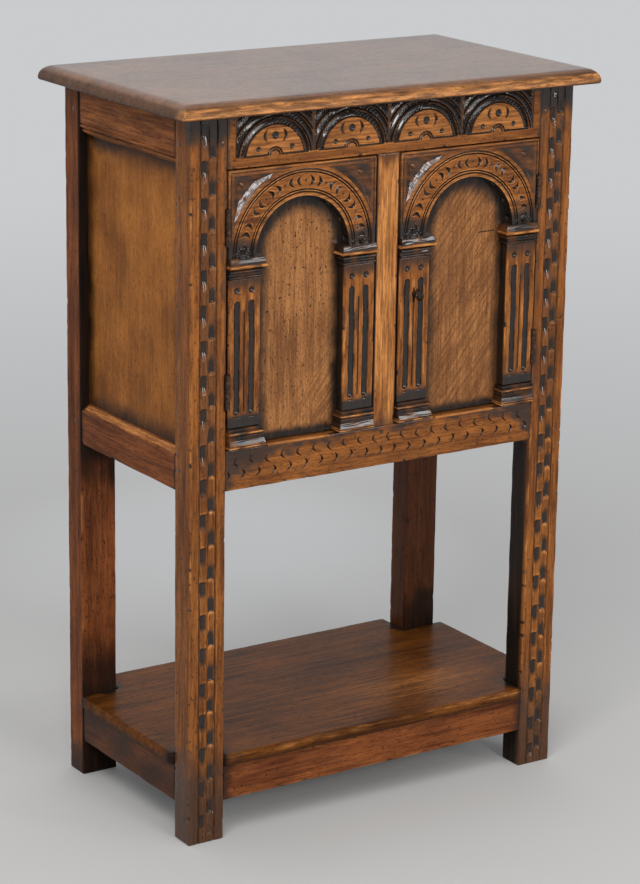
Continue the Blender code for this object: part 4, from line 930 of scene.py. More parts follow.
def pilaster_carving(aside, up, height):
    """Two stopped flutes with a fine groove between them, a punched dimple above each and a stab below."""
    sizes = bpy.context.scene.cabinet_carving
    groove = trough(aside, 2.2 * MM, 1.7 * MM)
    cuts = [groove * eased(0.017, 0.020, up) * eased(height - 0.038, height - 0.042, up)]
    half = sizes.flute_width / 2
    low, high = 16 * MM + half, height - 27 * MM - half
    for hand in (-1, 1):
        a = aside - hand * sizes.flute_spacing / 2 + 0.3 * MM * ripple(up, 0 * up, 40 * MM, 9 + hand)
        along = up - np.clip(up, low, high)
        reach = (a * a + along * along) / half ** 2
        tooled = sizes.flute_depth * (1 + 0.05 * ripple(a, up, 7 * MM, 11))
        cuts.append(tooled * np.sqrt(np.clip(1 - reach, 0, None)))
        cuts.append(pit(a, up - height + 14.5 * MM, 4.6 * MM, 2.8 * MM))
        cuts.append(crescent(-(up - 13.2 * MM), a, 9.5 * MM, 3.2 * MM, 1.9 * MM))
    return np.max(cuts, 0)


def keyhole(x, z):
    """A pit round the key's shank with a slot below it."""
    low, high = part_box("key")
    middle, level = (low.x + high.x) / 2, (low.z + high.z) / 2
    hole = np.hypot(x - middle, z - level) < 2.8 * MM
    slot = (np.abs(x - middle) < 1.6 * MM) & (z < level) & (z > level - 11 * MM)
    return 7 * MM * (hole | slot)


# Operators: one for each piece or group of like pieces

class CarveFrontLegs(bpy.types.Operator):
    """Make the two front legs with their staggered gouge notches"""

    bl_idname = "cabinet.carve_front_legs"
    bl_label = "Front legs"

    def execute(self, context):
        for word in SIDES:
            self.carve(word, context.scene.cabinet_carving)
        return {"FINISHED"}

    @staticmethod
    def carve(word, sizes):
        """A notched face whose upward-facing ledges are bared of wax as a painted highlight, then dirt: at
        the head, beside the doors, over the notches, at the foot, and dull on the sides, most of all inside
        the leg under the cupboard, where it is painted shade with some dark finish."""
        node, side = f"front_{word}_leg", SIDES[word]
        low, high = laid_box(node, UPRIGHT)
        wide, middle = high - low, (low[0] + high[0]) / 2
        rows, columns = int(wide[2] / (1.75 * sizes.grid)), int(wide[0] / sizes.grid)
        board = Board(UPRIGHT, low, high, rows, columns)
        u, t = board.face()
        depth = leg_carving(u, t, middle, getattr(sizes, f"{word}_pitch"), NOTCH_STARTS[word])
        if word == "right":
            depth = np.maximum(depth, saw_scratches(u, t, high[0]))
        board.press(depth, shade=3.2 * MM)
        # Ledges that face up: painted highlight, wax taken off and bare ochre laid on
        lit_ledge = eased(0.5, 1.1, np.gradient(depth, axis=0) / np.gradient(t, axis=0))
        board.soot[:, board.front] *= 1 - 0.85 * lit_ledge
        board.rub_bare_and_highlight(0.8 * lit_ledge, board.front)
        board.wear(31 + side)
        uneven = 10 * MM * ripple(board.u, board.t, 30 * MM, 4)
        on_face = board.v < low[1] + 8 * MM
        board.grime_and_shade(0.86 * eased(high[2] - 66 * MM, high[2] - 14 * MM, board.t + uneven) * on_face)
        to_door = high[0] - board.u if side < 0 else board.u - low[0]
        beside = eased(10 * MM, 1 * MM, to_door + 0.3 * uneven) * eased(490 * MM, 520 * MM, board.t)
        board.grime_and_shade(0.5 * beside * on_face)
        carved = eased(16 * MM, 12 * MM, np.abs(board.u - middle)) * on_face
        board.grime_and_shade(0.40 * eased(440 * MM, 520 * MM, board.t + uneven) * carved)
        board.grime_and_shade(0.60 * eased(low[2] + 176 * MM, low[2] + 66 * MM, board.t + 1.6 * uneven))
        # Inside face of the leg under the cupboard: painted shade, with some dark finish, and dull
        inner = np.abs(board.u + side * wide[0] / 2 - board.u.mean()) < 1 * MM
        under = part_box("front_bottom_rail")[0].z
        below = eased(under, under - 9 * MM, board.t)
        board.grime_and_shade(0.92 * inner * below * eased(4 * MM, 8 * MM, board.v - low[1]), dull=True)
        board.grime_and_shade(0.16 * eased(2 * MM, 5 * MM, board.v - low[1]), dull=True)
        points = clear_of_hinges(board.points(), word, "leg")
        board.build(f"{word}_leg_carved", "carcass", frame_oak("Z"), [node], "carved_oak", points)


class MakeBackLegs(bpy.types.Operator):
    """Make the two plain back legs"""

    bl_idname = "cabinet.make_back_legs"
    bl_label = "Back legs"

    def execute(self, context):
        for word in SIDES:
            node = f"back_{word}_leg"
            low, high = laid_box(node, UPRIGHT_BEHIND)
            board = Board(UPRIGHT_BEHIND, low, high, 160, 12, 10)
            board.wear(41 + SIDES[word])
            uneven = 14 * MM * ripple(board.u, board.t, 40 * MM, 14)
            board.grime_and_shade(0.7 * eased(low[2] + 70 * MM, low[2], board.t + uneven))
            # Right back leg, all but its back face: darkened as painted shade under the cupboard
            board.grime_and_shade((0.5 if word == "right" else 0.12) * eased(2 * MM, 6 * MM, board.v - low[1]))
            # Front faces: darkened over the cupboard's height, and painted shade just under the cupboard and
            # from above the shelf down
            inward = board.v > high[1] - 3 * MM
            beside = eased(448 * MM, 458 * MM, board.t) * eased(868 * MM, 858 * MM, board.t)
            board.grime_and_shade(0.9 * beside * inward, dull=True)
            level = board.t + uneven
            shaded = eased(350 * MM, 450 * MM, level) + eased(250 * MM, 118 * MM, level)
            board.grime_and_shade(0.8 * shaded * inward, dull=True)
            board.build(f"{word}_back_leg_worn", "carcass", dark_oak("Z"), [node], "oak")
        return {"FINISHED"}


class CarveFrieze(bpy.types.Operator):
    """Make the frieze rail with its lunettes"""

    bl_idname = "cabinet.carve_frieze"
    bl_label = "Frieze"

    def execute(self, context):
        grid = context.scene.cabinet_carving.grid
        low, high = laid_box("frieze_rail", CROSSWISE, BAY)
        wide = high - low
        board = Board(CROSSWISE, low, high, int(wide[2] / grid), int(wide[0] / grid), arris=0.8 * MM)
        z, x = board.face()
        depth, black, disc = lunette_carving(x, z)
        board.press(depth, shade_halo=0.08)
        board.wear(52, 0.3 * MM, rub=0.4)
        board.rub_bare_and_highlight(0.42 * disc, board.front)
        cover = np.zeros_like(board.soot)
        shaded = 0.78 * black * (0.9 + 0.15 * ripple(x, z, 25 * MM, 8))
        # Top strip of the frieze, under the top board's overhang: painted shade
        cover[:, board.front] = np.maximum(shaded, 0.8 * eased(high[0] - 12 * MM, high[0] - 3 * MM, z))
        board.grime_and_shade(cover)
        board.joint_grime(9 * MM, 0.75, 6)
        board.build("frieze_carved", "carcass", frame_oak("X"), ["frieze_rail"], "carved_oak")
        return {"FINISHED"}


class CarveBottomRail(bpy.types.Operator):
    """Make the rail under the doors with its two rows of crescents"""

    bl_idname = "cabinet.carve_bottom_rail"
    bl_label = "Bottom rail"

    def execute(self, context):
        grid = context.scene.cabinet_carving.grid
        low, high = laid_box("front_bottom_rail", CROSSWISE, BAY)
        wide = high - low
        board = Board(CROSSWISE, low, high, int(wide[2] / grid), int(wide[0] / grid))
        z, x = board.face()
        board.press(crescent_rows(x, z, (low[0] + high[0]) / 2), shade=1.5 * MM, half=2, shade_halo=0.15)
        board.wear(63)
        cloud = ripple(board.t, board.u * 1.6, 45 * MM, 17)
        cloud = cloud + 0.5 * ripple(board.t, board.u * 1.5, 14 * MM, 18)
        end = np.where(board.t < 0, board.t - BAY[0], (BAY[1] - board.t) * 1.8)
        reach = 4 * MM + 42 * MM * np.exp(-((end / 0.05) ** 1.2)) + 5 * MM * cloud
        on_face = board.v < low[1] + 6 * MM
        board.grime_and_shade(0.74 * eased(reach + 13 * MM, reach - 9 * MM, high[0] - board.u) * on_face)
        board.grime_and_shade(0.3 * eased(0.4, 1.4, cloud))
        under_panel = np.abs(np.abs(board.t) - 0.125) < 0.045
        arris = eased(3 * MM, 1 * MM, high[0] - board.u) * under_panel * on_face
        board.soot *= 1 - arris
        board.rub_bare_and_highlight(0.55 * arris)
        board.joint_grime(7 * MM, 0.7, 9)
        board.build("bottom_rail_carved", "carcass", frame_oak("X"), ["front_bottom_rail"], "carved_oak")
        return {"FINISHED"}


class MakeRails(bpy.types.Operator):
    """Make the plain and moulded rails of the sides and back, and the aprons under the shelf"""

    bl_idname = "cabinet.make_rails"
    bl_label = "Rails and aprons"

    def execute(self, context):
        for word, lay in ALONG_SIDE.items():
            for part, shape in (("top_rail", self.moulded), ("bottom_rail", self.chamfered), ("apron", None)):
                node = f"{word}_{part}"
                low, high = laid_box(node, lay, SIDE_BAY)
                outline = shape(low, high) if shape else None
                self.weather(Board(lay, low, high, 70, 14, outline=outline), node, dark_oak("Y"))
        for node, lay in (
            ("front_apron", CROSSWISE),
            ("back_apron", CROSSWISE_BEHIND),
            ("back_top_rail", CROSSWISE_BEHIND),
            ("back_bottom_rail", CROSSWISE_BEHIND),
        ):
            self.weather(Board(lay, *laid_box(node, lay, BAY), 140, 14), node, dark_oak("X"))
        return {"FINISHED"}

    @staticmethod
    def weather(board, node, material):
        """Worn arrises, wax in the corners, a rubbed chamfer or face on a side's rails, and for an apron an
        overall darkening, heaviest on the side aprons."""
        board.wear(seed_of(node))
        board.joint_grime(9 * MM, 0.75, 5)
        if node in ("left_bottom_rail", "right_bottom_rail"):
            chamfer = eased(9 * MM, 6 * MM, board.high[0] - board.u) * (board.v < board.low[1] + 9 * MM)
            board.rub_bare_and_highlight(0.62 * chamfer)
        if node in ("left_top_rail", "right_top_rail"):
            board.rub_bare_and_highlight(0.32)
        if "apron" in node:
            aside = 0.40 if node in ("left_apron", "right_apron") else 0
            board.grime_and_shade(0.16 + aside + 0.10 * ripple(board.t, board.u, 60 * MM, 2))
            board.joint_grime(36 * MM, 0.72, 8)
        board.build(f"{node}_worn", "carcass", material, [node], "oak")

    @staticmethod
    def moulded(low, high):
        """The section of a side's top rail: an ovolo and a bead run along its lower arris."""
        bead = 3 * MM
        turn = np.radians(np.linspace(-90, 60, 6))
        ovolo = np.stack((low[0] + bead * (2 + np.sin(turn)), low[1] + bead * (2 - np.cos(turn))), 1)
        near = [(low[0], low[1] + 3 * bead), (low[0] + bead, low[1] + 3 * bead)]
        far = [(3.5, 1), (3.5, 0), (4.5, 0), (4.8, 0.5), (5.2, 0)]
        rest = [(low[0] + a * bead, low[1] + b * bead) for a, b in far]
        end = [(high[0], low[1]), (high[0], high[1]), (low[0], high[1])]
        corners = near + ovolo.tolist() + rest + end
        steps = [2] * (len(corners) - 4) + [12, 6, 12, 6]
        return ring(corners, 0.35 * MM, steps)

    @staticmethod
    def chamfered(low, high):
        """The section of a side's bottom rail: its upper outer arris is cut back to the panel."""
        cut = 8 * MM
        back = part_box("left_panel")[0].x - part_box("left_bottom_rail")[0].x
        corners = [(low[0], low[1]), (high[0] - cut, low[1]), (high[0], low[1] + back)]
        corners += [(high[0], high[1]), (low[0], high[1])]
        return ring(corners, 1.2 * MM, [14, 5, 5, 14, 6])


class MakeMuntin(bpy.types.Operator):
    """Make the muntin between the doors"""

    bl_idname = "cabinet.make_muntin"
    bl_label = "Muntin"

    def execute(self, context):
        low, high = laid_box("muntin", UPRIGHT, (CUPBOARD_LEVEL, FRIEZE_LEVEL))
        board = Board(UPRIGHT, low, high, 170, 22)
        board.wear(75, rub=0.9)
        bright = 0.60 + 0.14 * ripple(2 * board.u, 0.3 * board.t, 40 * MM, 13)
        board.rub_bare_and_highlight(bright * (board.v < low[1] + 2 * MM))
        board.joint_grime(26 * MM, 0.55, 3)
        board.grime_and_shade(0.9 * eased(2.4 * MM, 0.8 * MM, np.minimum(board.u - low[0], high[0] - board.u)))
        board.build("muntin_worn", "carcass", frame_oak("Z"), ["muntin"], "oak")
        return {"FINISHED"}


class MakeTop(bpy.types.Operator):
    """Make the top board with its rounded edge"""

    bl_idname = "cabinet.make_top"
    bl_label = "Top"

    def execute(self, context):
        low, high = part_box("top_board")
        thick = high.z - low.z
        fillet, corner = 3 * MM, 4 * MM
        drop = thick - fillet

        def plan(inset):
            left, right, front, back = low.x + inset, high.x - inset, low.y + inset, high.y - inset
            corners = [(left, front), (right, front), (right, back), (left, back)]
            return ring(corners, corner, [130, 80, 130, 80])

        turn = np.linspace(0, pi / 2, 14)
        inset = np.array([fillet, 1.6 * MM, 0.5 * MM, *(drop * (1 - np.cos(turn)))])
        level = np.array([0, 0.3 * MM, 1.2 * MM, *(fillet + drop * np.sin(turn))])
        x, y, z, inset = slab(plan, 0.10, low.z, thick, inset, level)
        edge = eased(22 * MM, 5 * MM, inset)
        face = eased(6 * MM, 2 * MM, inset)
        bruise = np.clip(ripple(x, y, 22 * MM, 81), 0, 2) * 0.3 * MM * edge
        on_end, on_front = np.abs(x) > high.x - 25 * MM, np.abs(y) > high.y - 25 * MM
        shell = np.stack((x - np.sign(x) * bruise * on_end, y - np.sign(y) * bruise * on_front, z), -1)
        facing = eased(low.y + 24 * MM, low.y + 8 * MM, y)
        streak = np.clip(0.58 + 0.20 * ripple(0.4 * (x + y), 1.8 * z, 11 * MM, 83), 0, 1)
        above = z > low.z + 2 * MM
        rub = face * facing * streak * above
        soot = np.maximum(0.6 * edge * (1 - above), face * (0.44 - 0.28 * facing))
        marks = {"rub": rub, "soot": soot, "dull": 0.9 * face}
        add_piece("top_worn", [shell], "carcass", rubbed_top_oak(), ["top_board"], marks)
        return {"FINISHED"}


class MakeShelf(bpy.types.Operator):
    """Make the pot shelf, notched round the legs, with its worn nose"""

    bl_idname = "cabinet.make_shelf"
    bl_label = "Pot shelf"

    def execute(self, context):
        low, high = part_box("shelf_board")
        gap = 0.3 * MM
        left, right = BAY[0] + gap, BAY[1] - gap
        front, back = SIDE_BAY[0] + gap, SIDE_BAY[1] - gap
        corners = [(left, low.y), (right, low.y), (right, front)]
        corners += [(high.x, front), (high.x, back), (right, back)]
        corners += [(right, high.y), (left, high.y), (left, back)]
        corners += [(low.x, back), (low.x, front), (left, front)]
        outline = ring(corners, np.array([7, 7, 0.8] * 4) * MM, [150, 12, 18, 80, 18, 12] * 2)
        outward = outward_of(outline)

        def plan(inset):
            return outline - inset * outward

        thick = high.z - low.z
        upper, lower = 4.5 * MM, 2.2 * MM
        turn = np.linspace(0, pi / 2, 8)
        inset = np.array([*(lower * (1 - np.sin(turn))), *(upper * (1 - np.cos(turn)))])
        level = np.array([*(lower * (1 - np.cos(turn))), *(thick - upper + upper * np.sin(turn))])
        x, y, z, inset = slab(plan, 0.20, low.z, thick, inset, level)
        edge = eased(6 * MM, 1 * MM, inset)
        bruise = np.clip(ripple(x, y, 26 * MM, 91), 0, 2) * 0.4 * MM * edge
        shell = np.stack((x - outward[:, 0] * bruise, y - outward[:, 1] * bruise, z), -1)
        nose = eased(low.y + 14 * MM, low.y + 3 * MM, y)
        grain = 0.10 * ripple(0.2 * x, 3 * y, 9 * MM, 93)
        streak = np.clip(0.30 + grain + 0.14 * ripple(x, y, 70 * MM, 94), 0, 1)
        above = z > low.z + 5 * MM
        # A painted glow of light in the shelf's middle, laid as bare ochre
        painted_glow = np.exp(-(((x - SHELF_GLOW[0]) / 0.13) ** 2) - ((y - SHELF_GLOW[1]) / 0.06) ** 2)
        rub = np.maximum(edge * (0.2 + 0.8 * nose) * streak, 0.35 * painted_glow) * above
        to_leg = np.hypot(np.clip(right - np.abs(x), 0, None), np.clip(back - np.abs(y), 0, None))
        dirt_and_shade = 0.8 * eased(26 * MM, 2 * MM, to_leg + 6 * MM * ripple(x, y, 30 * MM, 95))
        marks = {"rub": rub, "soot": np.maximum(dirt_and_shade, 0.55 * (1 - above))}
        add_piece("shelf_worn", [shell], "carcass", waxed_shelf_oak(), ["shelf_board"], marks)
        return {"FINISHED"}


class CarveArches(bpy.types.Operator):
    """Make the arch board of each door"""

    bl_idname = "cabinet.carve_arches"
    bl_label = "Arches"

    def execute(self, context):
        for word in SIDES:
            self.carve(word, context.scene.cabinet_carving)
        return {"FINISHED"}

    @staticmethod
    def carve(word, sizes):
        """Rings of the arch's section, swung about its centre from one foot to the other.

        The front of a ring runs out along the radius from the opening to the edge of the board, the rest goes
        over that edge, down the back and along the reveal, whose nicks follow the angle.
        """
        low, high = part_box(f"{word}_arch")
        middle, half, tall = (low.x + high.x) / 2, (high.x - low.x) / 2, high.z - low.z
        outer = half - ARCH_MARGIN
        inner = outer - ARCHIVOLT
        corner = np.arctan2(tall, half)
        flank, crown = int(half / sizes.grid * 0.62), int(half / sizes.grid * 1.15)
        angle = np.concatenate((
            np.linspace(0, corner, flank),
            np.linspace(corner, pi - corner, crown)[1:-1],
            np.linspace(pi - corner, pi, flank),
        ))[:, None]
        limit = np.minimum(
            half / np.maximum(np.abs(np.cos(angle)), TINY), tall / np.maximum(np.sin(angle), TINY)
        )
        across = np.linspace(inner, outer, int((outer - inner) / (0.8 * sizes.grid)))
        share = np.linspace(0, 1, 44)[1:]
        out = np.concatenate((across + 0 * limit, outer + (limit - outer) * share), 1)
        aside, rise = out * np.cos(angle), out * np.sin(angle)
        border = np.minimum(half - np.abs(aside), tall - rise)
        turned = angle + 0 * out
        depth, black = arch_carving(aside, rise, out, turned, inner, outer, border)
        edge = np.minimum(border, out - inner)
        depth = np.maximum(depth, worn_edge(edge, 1.1 * MM))
        front = low.y + depth
        around = blurred(depth, 3)
        cut = np.clip(depth / (1.3 * MM), 0, 1) * (edge > 1.2 * MM) * (1 - black)
        sunk = 0.64 * black * (1 + 0.2 * ripple(aside, rise, 16 * MM, 23))
        # The blurred depth lays a halo of wax and painted shade round the cuts
        soot = np.max([cut, 0.12 * around / MM, sunk], 0)
        strip = eased(0, 1.5 * MM, out - outer) * (1 - black)
        corners = 0.14 + 0.36 * np.abs(aside) / half + 0.12 * ripple(aside, rise, 30 * MM, 19)
        soot = np.maximum(soot, strip * np.clip(corners, 0, 1))
        feet = eased(0.46, 0.10, np.minimum(turned, pi - turned) + 0.03 * ripple(aside, rise, 30 * MM, 3))
        soot = np.clip(np.maximum(soot, 0.85 * feet), 0, 1)
        proud = np.clip((around - depth) / (0.8 * MM), 0, 1)
        rub = np.clip(0.12 + 0.6 * proud + 0.5 * eased(2.5 * MM, 0.4 * MM, edge), 0, 1)
        wall = np.linspace(low.y + 1.1 * MM, high.y, 4)
        reveal = np.linspace(high.y, low.y + 1.1 * MM, 14)[:-1]
        nick = np.clip(np.sin(turned[:, :1] * 16 + 0.6 * np.sin(3 * turned[:, :1])), 0, 1) ** 2
        swell = np.sin(pi * np.linspace(0, 1, len(reveal))) ** 0.5
        back = limit + (inner - limit) * np.linspace(0, 1, 5)[1:-1]
        hollow = inner + 2.6 * MM * nick * swell
        radius = np.concatenate((out, limit + 0 * wall[1:], back, hollow), 1)
        plain = np.ones((len(angle), 1))
        y = np.concatenate((front, plain * wall[1:], plain * high.y * np.ones(3), plain * reveal), 1)
        deep = plain * np.ones(len(reveal))
        hidden = plain * np.ones(radius.shape[1] - out.shape[1] - len(reveal))
        soot = np.concatenate((soot, 0.3 * hidden, 0.95 * deep), 1)
        rub = np.concatenate((rub, 0 * hidden, 0 * deep), 1)
        points = np.stack((middle + radius * np.cos(angle), y, SPRINGING + radius * np.sin(angle)), -1)
        points = clear_of_hinges(points, word, "door")
        dull = np.concatenate((0 * out, hidden, 0 * deep), 1)
        marks = {"soot": soot, "rub": np.clip(rub - 0.6 * soot, 0, 1), "dull": dull}
        node = f"{word}_arch"
        add_piece(f"{node}_carved", [points], f"{word}_door", frame_oak("X"), [node], marks)


class CarvePilasters(bpy.types.Operator):
    """Make the fluted pilasters of the doors"""

    bl_idname = "cabinet.carve_pilasters"
    bl_label = "Pilasters"

    def execute(self, context):
        for word in SIDES:
            for hand in ("outer", "inner"):
                self.carve(word, hand, context.scene.cabinet_carving.grid)
        return {"FINISHED"}

    @staticmethod
    def carve(word, hand, grid):
        """A fluted face, clouded with wax and rubbed between, dark at the foot, the head and the sides."""
        node = f"{word}_{hand}_pilaster"
        low, high = laid_box(node, UPRIGHT)
        wide = high - low
        rows, columns = int(wide[2] / grid), int(wide[0] / (0.85 * grid))
        board = Board(UPRIGHT, low, high, rows, columns, arris=1.1 * MM)
        u, t = board.face()
        depth = pilaster_carving(u - (low[0] + high[0]) / 2, t - low[2], wide[2])
        if node == "right_inner_pilaster":
            depth = np.maximum(depth, keyhole(u, t))
        board.press(depth)
        board.wear(seed_of(node), 0.4 * MM)
        cloud = ripple(2.4 * board.u, 0.5 * board.t, 26 * MM, seed_of(node) + 3)
        board.grime_and_shade(0.52 * eased(0.1, 1.3, cloud))
        board.rub_bare_and_highlight(0.45 * eased(0.2, -0.9, cloud) * (board.v < low[1] + 1 * MM))
        rise = board.t - low[2] + 2 * MM * ripple(board.u, board.t, 22 * MM, 2)
        board.grime_and_shade(0.92 * eased(22 * MM, 9 * MM, rise))
        board.grime_and_shade(0.66 * eased(wide[2] - 26 * MM, wide[2] - 3 * MM, rise))
        on_side = np.abs(board.u - board.u.mean()) > wide[0] * 0.4
        board.grime_and_shade(0.9 * (board.v > low[1] + 3 * MM) * on_side)
        points = board.points()
        if hand == "outer":
            points = clear_of_hinges(points, word, "door")
        board.build(f"{node}_carved", f"{word}_door", frame_oak("Z"), [node], "carved_oak", points)


class MakeMouldings(bpy.types.Operator):
    """Make the capitals and bases of the pilasters"""

    bl_idname = "cabinet.make_mouldings"
    bl_label = "Capitals and bases"

    def execute(self, context):
        for word in SIDES:
            for hand in ("outer", "inner"):
                for part, section in (("capital", self.capital), ("base", self.base)):
                    self.run(word, hand, part, section)
        return {"FINISHED"}

    @staticmethod
    def capital(share):
        """Projection and bareness by height: a necking roll, a bead in a hollow, and a slab whose rounded
        lower edge is rubbed and which runs back to a fillet above."""
        neck = 0.46 * rounded(share, 0.07, 0.08)
        bead = 0.30 + 0.42 * rounded(share, 0.36, 0.08)
        slab = 0.30 + 0.70 * rounded(share, 0.58, 0.11)
        fillet = 0.74 - 0.16 * eased(0.70, 0.98, share)
        parts = [neck, bead * (share > 0.26) * (share < 0.46), slab * (share > 0.47), fillet * (share > 0.65)]
        return np.max([*parts, 0.10 + 0 * share], 0), rounded(share, 0.56, 0.10)

    @staticmethod
    def base(share):
        """Projection and bareness by height: a slab, a bevel that rakes back, a hollow, and a torus with a
        fillet under the shaft. The slab's edges and the torus are rubbed."""
        slab = 0.30 + 0.70 * rounded(share, 0.08, 0.11)
        rake = 0.98 - 0.30 * (share - 0.16) / 0.26
        hollow = 0.38 + 0.2 * rounded(share, 0.58, 0.04)
        torus = 0.25 + 0.48 * rounded(share, 0.76, 0.10)
        fillet = 0.34 * (share > 0.88)
        parts = [slab * (share < 0.19), rake * (share > 0.15) * (share < 0.42), hollow * (share < 0.7)]
        parts += [torus * (share > 0.62), fillet, 0.12 + 0 * share]
        edges = [rounded(share, 0.05, 0.06), 0.7 * rounded(share, 0.17, 0.03)]
        return np.max(parts, 0), np.max([*edges, 0.8 * rounded(share, 0.75, 0.05)], 0)

    @staticmethod
    def run(word, hand, part, section):
        """The moulding breaks forward from the pilaster and returns on the side of the arch: each ring is the
        pilaster's plan, let out by the section's projection to the front and to that side."""
        node = f"{word}_{hand}_{part}"
        low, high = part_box(node)
        near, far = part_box(f"{word}_{hand}_pilaster")
        to_right = high.x - far.x > TINY
        share = np.linspace(0, 1, 90)[:, None]
        projection, bare = section(share)
        out = (near.y - low.y) * projection
        corners = [(near.x, near.y), (far.x, near.y), (far.x, far.y), (near.x, far.y)]
        plan = ring(corners, 0.5 * MM, [40, 14, 6, 14])
        x, y = plan[:, 0] + 0 * out, plan[:, 1] + 0 * out
        side = (plan[:, 0] - near.x) / (far.x - near.x)
        side = side if to_right else side - 1
        forward = eased(0, 0.9, 1 - (plan[:, 1] - near.y) / (far.y - near.y))
        z = low.z + (high.z - low.z) * share + 0 * x
        bruise = 0.22 * MM * np.clip(ripple(0.35 * x, 2 * z, 12 * MM, seed_of(node)), 0, 2)
        points = np.stack((x + out * side, np.minimum(y - (out - bruise) * forward, far.y), z), -1)
        streak = np.clip(0.55 + 0.6 * ripple(x, 2 * z, 18 * MM, seed_of(node) + 5), 0, 1)
        wax = np.clip(0.76 + 0.15 * ripple(x, z, 20 * MM, 11), 0, 1)
        soot = wax * (1 - bare * (0.5 + 0.5 * streak))
        marks = {"soot": soot, "rub": bare * streak, "dull": 0 * z + 0.3}
        if hand == "outer":
            points = clear_of_hinges(points, word, "door")
        add_piece(f"{node}_worn", [points], f"{word}_door", frame_oak("X"), [node], marks)


class FinishBoards(bpy.types.Operator):
    """Give the flat panels and the hidden boards their finishes"""

    bl_idname = "cabinet.finish_boards"
    bl_label = "Panels and inner boards"

    def execute(self, context):
        finishes = {
            door_panel_oak(): ("left_door_panel", "right_door_panel"),
            side_panel_oak(): ("left_panel", "right_panel"),
            inside_oak(): ("back_panel", "floor_board", "door_stop", "turn_button"),
        }
        for material, nodes in finishes.items():
            for node in nodes:
                give(node, material)
        return {"FINISHED"}


def give(node, material):
    """Puts a finish on a node of the frame."""
    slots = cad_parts[node].data.materials
    slots.clear()
    slots.append(material)


class MakeIronwork(bpy.types.Operator):
    """Give the hinges, lock, key and screw their finish"""

    bl_idname = "cabinet.make_ironwork"
    bl_label = "Ironwork"

    def execute(self, context):
        for word in SIDES:
            for level in ("upper", "lower"):
                for part in ("door_leaf", "leg_leaf", "pin"):
                    give(f"{word}_{level}_hinge_{part}", rusted_iron())
        for node in ("lock_case", "lock_bolt", "turn_button_screw", "key"):
            give(node, rusted_iron())
        return {"FINISHED"}


class DrivePegs(bpy.types.Operator):
    """Make the draw pegs that show at the joints"""

    bl_idname = "cabinet.drive_pegs"
    bl_label = "Pegs"

    def execute(self, context):
        rise = 0.5 * MM
        head, foot = 880 * MM, 481 * MM
        front = [(BAY[0] - 7 * MM, head), (BAY[1] + 7 * MM, head), (-3 * MM, 497 * MM)]
        aside = [(SIDE_BAY[0] - 10 * MM, head), (SIDE_BAY[0] - 10 * MM, foot)]
        aside += [(SIDE_BAY[1] + 12 * MM, 883 * MM), (SIDE_BAY[1] + 12 * MM, foot)]
        radius = context.scene.cabinet_carving.peg_radius
        shells = [self.peg((x, FRONT, z), (1, 0, 0), radius, rise) for x, z in front]
        for side in (LEFT_LEG[0].x, RIGHT_LEG[1].x):
            shells += [self.peg((side, y, z), (0, 1, 0), radius, rise * np.sign(side)) for y, z in aside]
        count = sum(rows.shape[0] * rows.shape[1] for rows in shells)
        marks = {"soot": np.full(count, 0.62), "rub": np.zeros(count)}
        add_piece("pegs", shells, "carcass", frame_oak("Y"), (), marks)
        return {"FINISHED"}

    @staticmethod
    def peg(centre, across, radius, rise):
        """A low dome on an upright face: rings of radius r at height rise (1 - (r / radius)^2), over a short
        shank in the wood."""
        across, up = np.array(across, float), np.array((0, 0, 1), float)
        out = np.cross(across, up)
        turn = np.linspace(0, 2 * pi, 17)[:-1]
        around = np.cos(turn)[:, None] * across + np.sin(turn)[:, None] * up
        size = radius * np.array([1, 1, 0.8, 0.45, 0.12])[:, None, None]
        height = np.array([-2 * MM * np.sign(rise), 0, 0.36 * rise, 0.8 * rise, rise])[:, None, None]
        return np.array(centre) + size * around + height * out


